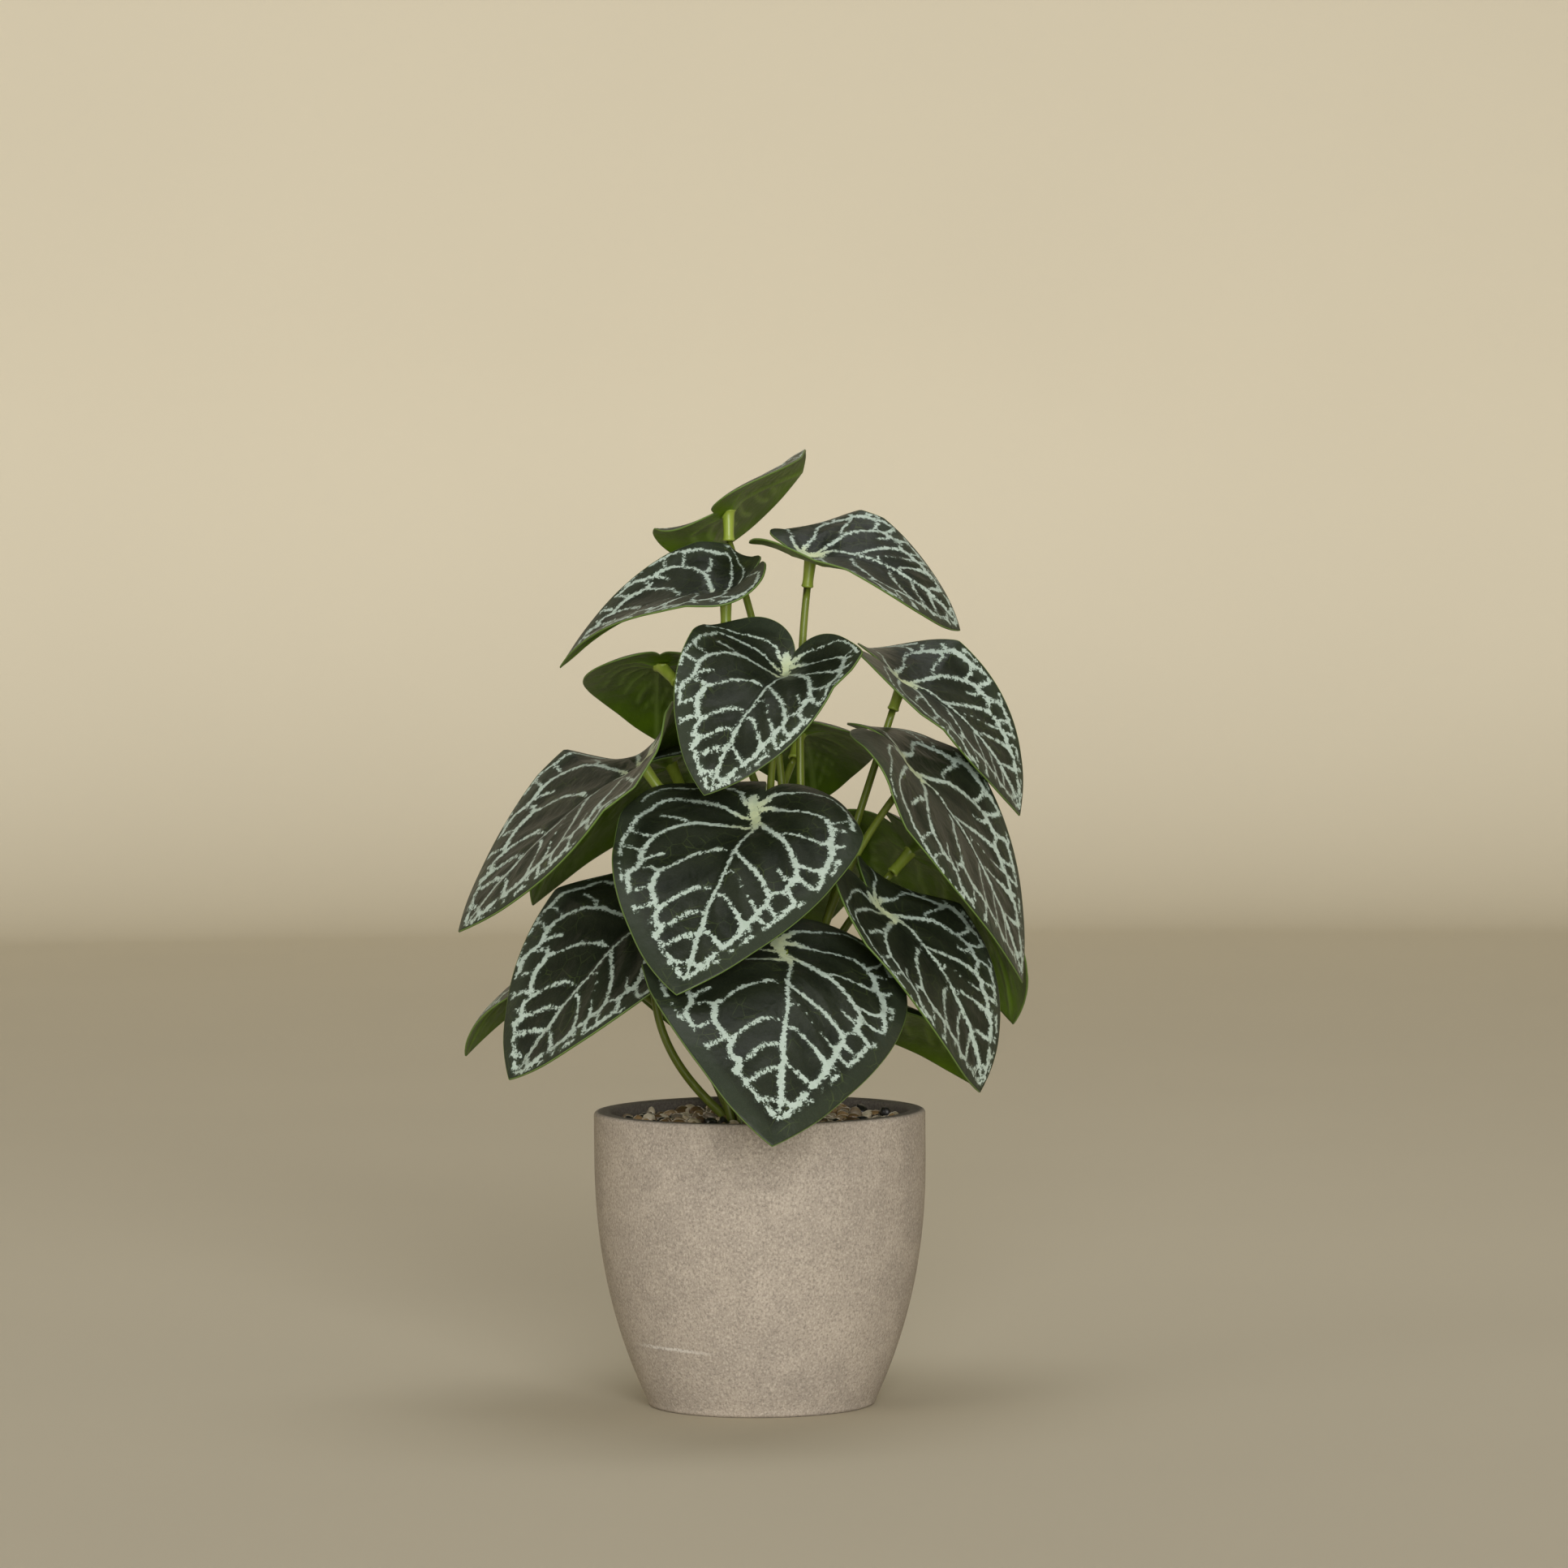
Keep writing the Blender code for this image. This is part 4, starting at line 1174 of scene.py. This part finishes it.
def add_light(name, kind, strength, width, place, target):
    """A lamp aimed at a target and hidden from the camera. A sun's width is an angle, an area's a length."""
    data = bpy.data.lights.new(name, kind)
    data.energy = strength
    setattr(data, "angle" if kind == "SUN" else "size", width)
    lamp = bpy.data.objects.new(name, data)
    lamp.visible_camera = False
    lamp.location = place
    x, y, z = np.subtract(target, place)
    lamp.rotation_euler = (math.atan2(math.hypot(x, y), -z), 0, math.atan2(-x, y))
    bpy.context.scene.collection.objects.link(lamp)


class PLANT_OT_blades(bpy.types.Operator):
    """Build the printed blades of all leaves"""

    bl_idname = "plant.blades"
    bl_label = "Blades"

    def execute(self, context):
        settings = context.scene.plant_blades
        material = leaf_material(settings)
        strokes = flat_strokes()
        for key, pose in LEAVES.items():
            make_blade(key, pose, settings, material, strokes)
        return {"FINISHED"}


class PLANT_OT_stems(bpy.types.Operator):
    """Build the stems and their sleeves"""

    bl_idname = "plant.stems"
    bl_label = "Stems"

    def execute(self, context):
        settings = context.scene.plant_stems
        material = stem_material(settings)
        roots = share_roots()
        for key, pose in LEAVES.items():
            make_stem(key, pose, roots[key], settings, material)
        return {"FINISHED"}


class PLANT_OT_pot(bpy.types.Operator):
    """Turn the concrete-look pot"""

    bl_idname = "plant.pot"
    bl_label = "Pot"

    def execute(self, context):
        settings = context.scene.plant_pot
        points, faces = turned_surface(pot_profile(settings.rows), settings.sides)
        # Marks the top of the rim and the inside, which the concrete paints darker as painted shade.
        distance = np.hypot(points[:, 0], points[:, 1])
        within = np.clip((outer_radius(points[:, 2]) - 1.2 * MM - distance) / (0.6 * MM), 0, 1)
        within[points[:, 2] < POT_FLOOR - MM] = 0
        material = concrete_material(settings)
        cover(new_piece("pot_shell", points, faces, material, {"inner": within}), "pot")
        return {"FINISHED"}


class PLANT_OT_gravel(bpy.types.Operator):
    """Lay the glued stones over their bed"""

    bl_idname = "plant.gravel"
    bl_label = "Gravel"

    def execute(self, context):
        settings = context.scene.plant_gravel
        rng = np.random.default_rng(settings.seed)
        count = settings.count
        wall = float(outer_radius(BED_TOP)) - POT_WALL
        shapes, faces = stone_shapes(count, rng)
        scale = settings.size * rng.uniform(*STONE_SIZES, count)
        index = np.arange(count) + 0.5
        reach = np.minimum(np.sqrt(index / count) * wall, wall - scale - ROW_GAP)
        turn = index * math.pi * (3 - math.sqrt(5))
        shift = rng.uniform(-STONE_SHIFT, STONE_SHIFT, (2, count)) * MM
        x, y = reach * np.cos(turn) + shift[0], reach * np.sin(turn) + shift[1]
        out = np.maximum(np.hypot(x, y) / (wall - scale - WALL_GAP), 1)
        lift = BED_TOP + rng.uniform(*STONE_LIFTS, count) * MM
        places = np.stack([x / out, y / out, lift], 1)
        stones = shapes * scale[:, None, None] + places[:, None]
        size = stones.shape[1]
        faces = (faces[None] + np.arange(count)[:, None, None] * size).reshape(-1, 3)
        low, high, edge = FILLER_TOP + PLUG_GAP, BED_TOP + BED_RISE, wall - MM
        profile = np.array([[20 * MM, low], [edge, low], [edge, high], [20 * MM, high]])
        bed, bed_faces = turned_surface(profile, BED_SIDES)
        points = np.concatenate([stones.reshape(-1, 3), bed])
        faces = np.concatenate([faces, bed_faces + count * size])
        # The bed shows between the stones in a near-black tone: painted shade in the gaps.
        tone = np.concatenate([np.repeat(rng.uniform(0, 1, count), size), np.full(len(bed), BED_SHADE_TONE)])
        piece = new_piece("gravel_stones", points, faces, stone_material(), {"tone": tone})
        cover(piece, "gravel")
        return {"FINISHED"}


class PLANT_OT_filler(bpy.types.Operator):
    """Give the foam plug its finish"""

    bl_idname = "plant.filler"
    bl_label = "Filler"

    def execute(self, context):
        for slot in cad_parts["filler"].material_slots:
            slot.material = filler_material()
        return {"FINISHED"}


class PLANT_OT_stage(bpy.types.Operator):
    """Set up the pale bowl, the soft lights and the camera"""

    bl_idname = "plant.stage"
    bl_label = "Stage"

    def execute(self, context):
        settings = context.scene.plant_stage
        turn = np.radians(np.linspace(0, 90, 25))
        cove = np.stack([FLOOR_REACH + COVE * np.sin(turn), COVE - COVE * np.cos(turn)], 1)
        side = np.concatenate([[[0.3, 0]], cove, [[FLOOR_REACH + COVE, WALL_TOP]]])
        points = np.concatenate([turned_rings(side, STAGE_SIDES), [[0, 0, 0]]])
        faces = polar_faces(0, STAGE_SIDES, len(side), len(points) - 1)
        floor = new_piece("studio_floor", points, faces, stage_material(settings.floor))
        floor.visible_shadow = False
        plant = (0, 0, 0.2)
        add_light("key_light", "SUN", settings.key, math.radians(30), (0.3, -2.5, 0.7), plant)
        add_light("fill_light", "AREA", settings.fill, 1.6, (-1.9, -1.5, 0.9), plant)
        add_light("top_light", "AREA", settings.fill * 1.6, 1.4, (0.2, 0.3, 2.2), plant)
        for turned in (210, 330):
            out = np.array([math.cos(math.radians(turned)), math.sin(math.radians(turned)), 0])
            target = out * (FLOOR_REACH + COVE) + UP * 1.3
            add_light(f"wall_light_{turned}", "AREA", settings.wall, 2.2, out * 2.0 + UP * 2.6, target)
        world = bpy.data.worlds.new("soft_sky")
        world.use_nodes = True
        sky = world.node_tree.nodes["Background"].inputs
        sky["Color"].default_value = (1.0, 0.98, 0.94, 1.0)
        sky["Strength"].default_value = settings.sky
        context.scene.world = world
        context.scene.view_settings.view_transform = "Standard"
        lens = bpy.data.cameras.new("camera")
        lens.lens = CAMERA_LENS
        lens.sensor_width = SENSOR
        lens.clip_end = 50
        camera = bpy.data.objects.new("camera", lens)
        camera.location = CAMERA_PLACE
        aim = Matrix.Rotation(math.radians(90 - CAMERA_PITCH), 3, "X")
        camera.rotation_euler = (aim @ Matrix.Rotation(math.radians(-CAMERA_ROLL), 3, "Z")).to_euler()
        context.scene.collection.objects.link(camera)
        context.scene.camera = camera
        return {"FINISHED"}


class PLANT_PT_panel(bpy.types.Panel):
    bl_label = "Potted plant"
    bl_idname = "PLANT_PT_panel"
    bl_space_type = "VIEW_3D"
    bl_region_type = "UI"
    bl_category = "Plant"

    def draw(self, context):
        for operator in OPERATORS:
            self.layout.operator(operator.bl_idname)
        for name, group in GROUPS.items():
            box = self.layout.box()
            for key in group.__annotations__:
                box.prop(getattr(context.scene, name), key)


GROUPS = {
    "plant_blades": PLANT_PG_blades,
    "plant_stems": PLANT_PG_stems,
    "plant_pot": PLANT_PG_pot,
    "plant_gravel": PLANT_PG_gravel,
    "plant_stage": PLANT_PG_stage,
}
OPERATORS = (
    PLANT_OT_pot,
    PLANT_OT_filler,
    PLANT_OT_gravel,
    PLANT_OT_stems,
    PLANT_OT_blades,
    PLANT_OT_stage,
)


def register():
    for item in (*GROUPS.values(), *OPERATORS, PLANT_PT_panel):
        bpy.utils.register_class(item)
    for name, group in GROUPS.items():
        setattr(bpy.types.Scene, name, bpy.props.PointerProperty(type=group))


def unregister():
    for name in GROUPS:
        delattr(bpy.types.Scene, name)
    for item in (PLANT_PT_panel, *OPERATORS, *GROUPS.values()):
        bpy.utils.unregister_class(item)


def main():
    register()
    bpy.ops.plant.pot()
    bpy.ops.plant.filler()
    bpy.ops.plant.gravel()
    bpy.ops.plant.stems()
    bpy.ops.plant.blades()
    bpy.ops.plant.stage()


if __name__ == "__main__":
    main()
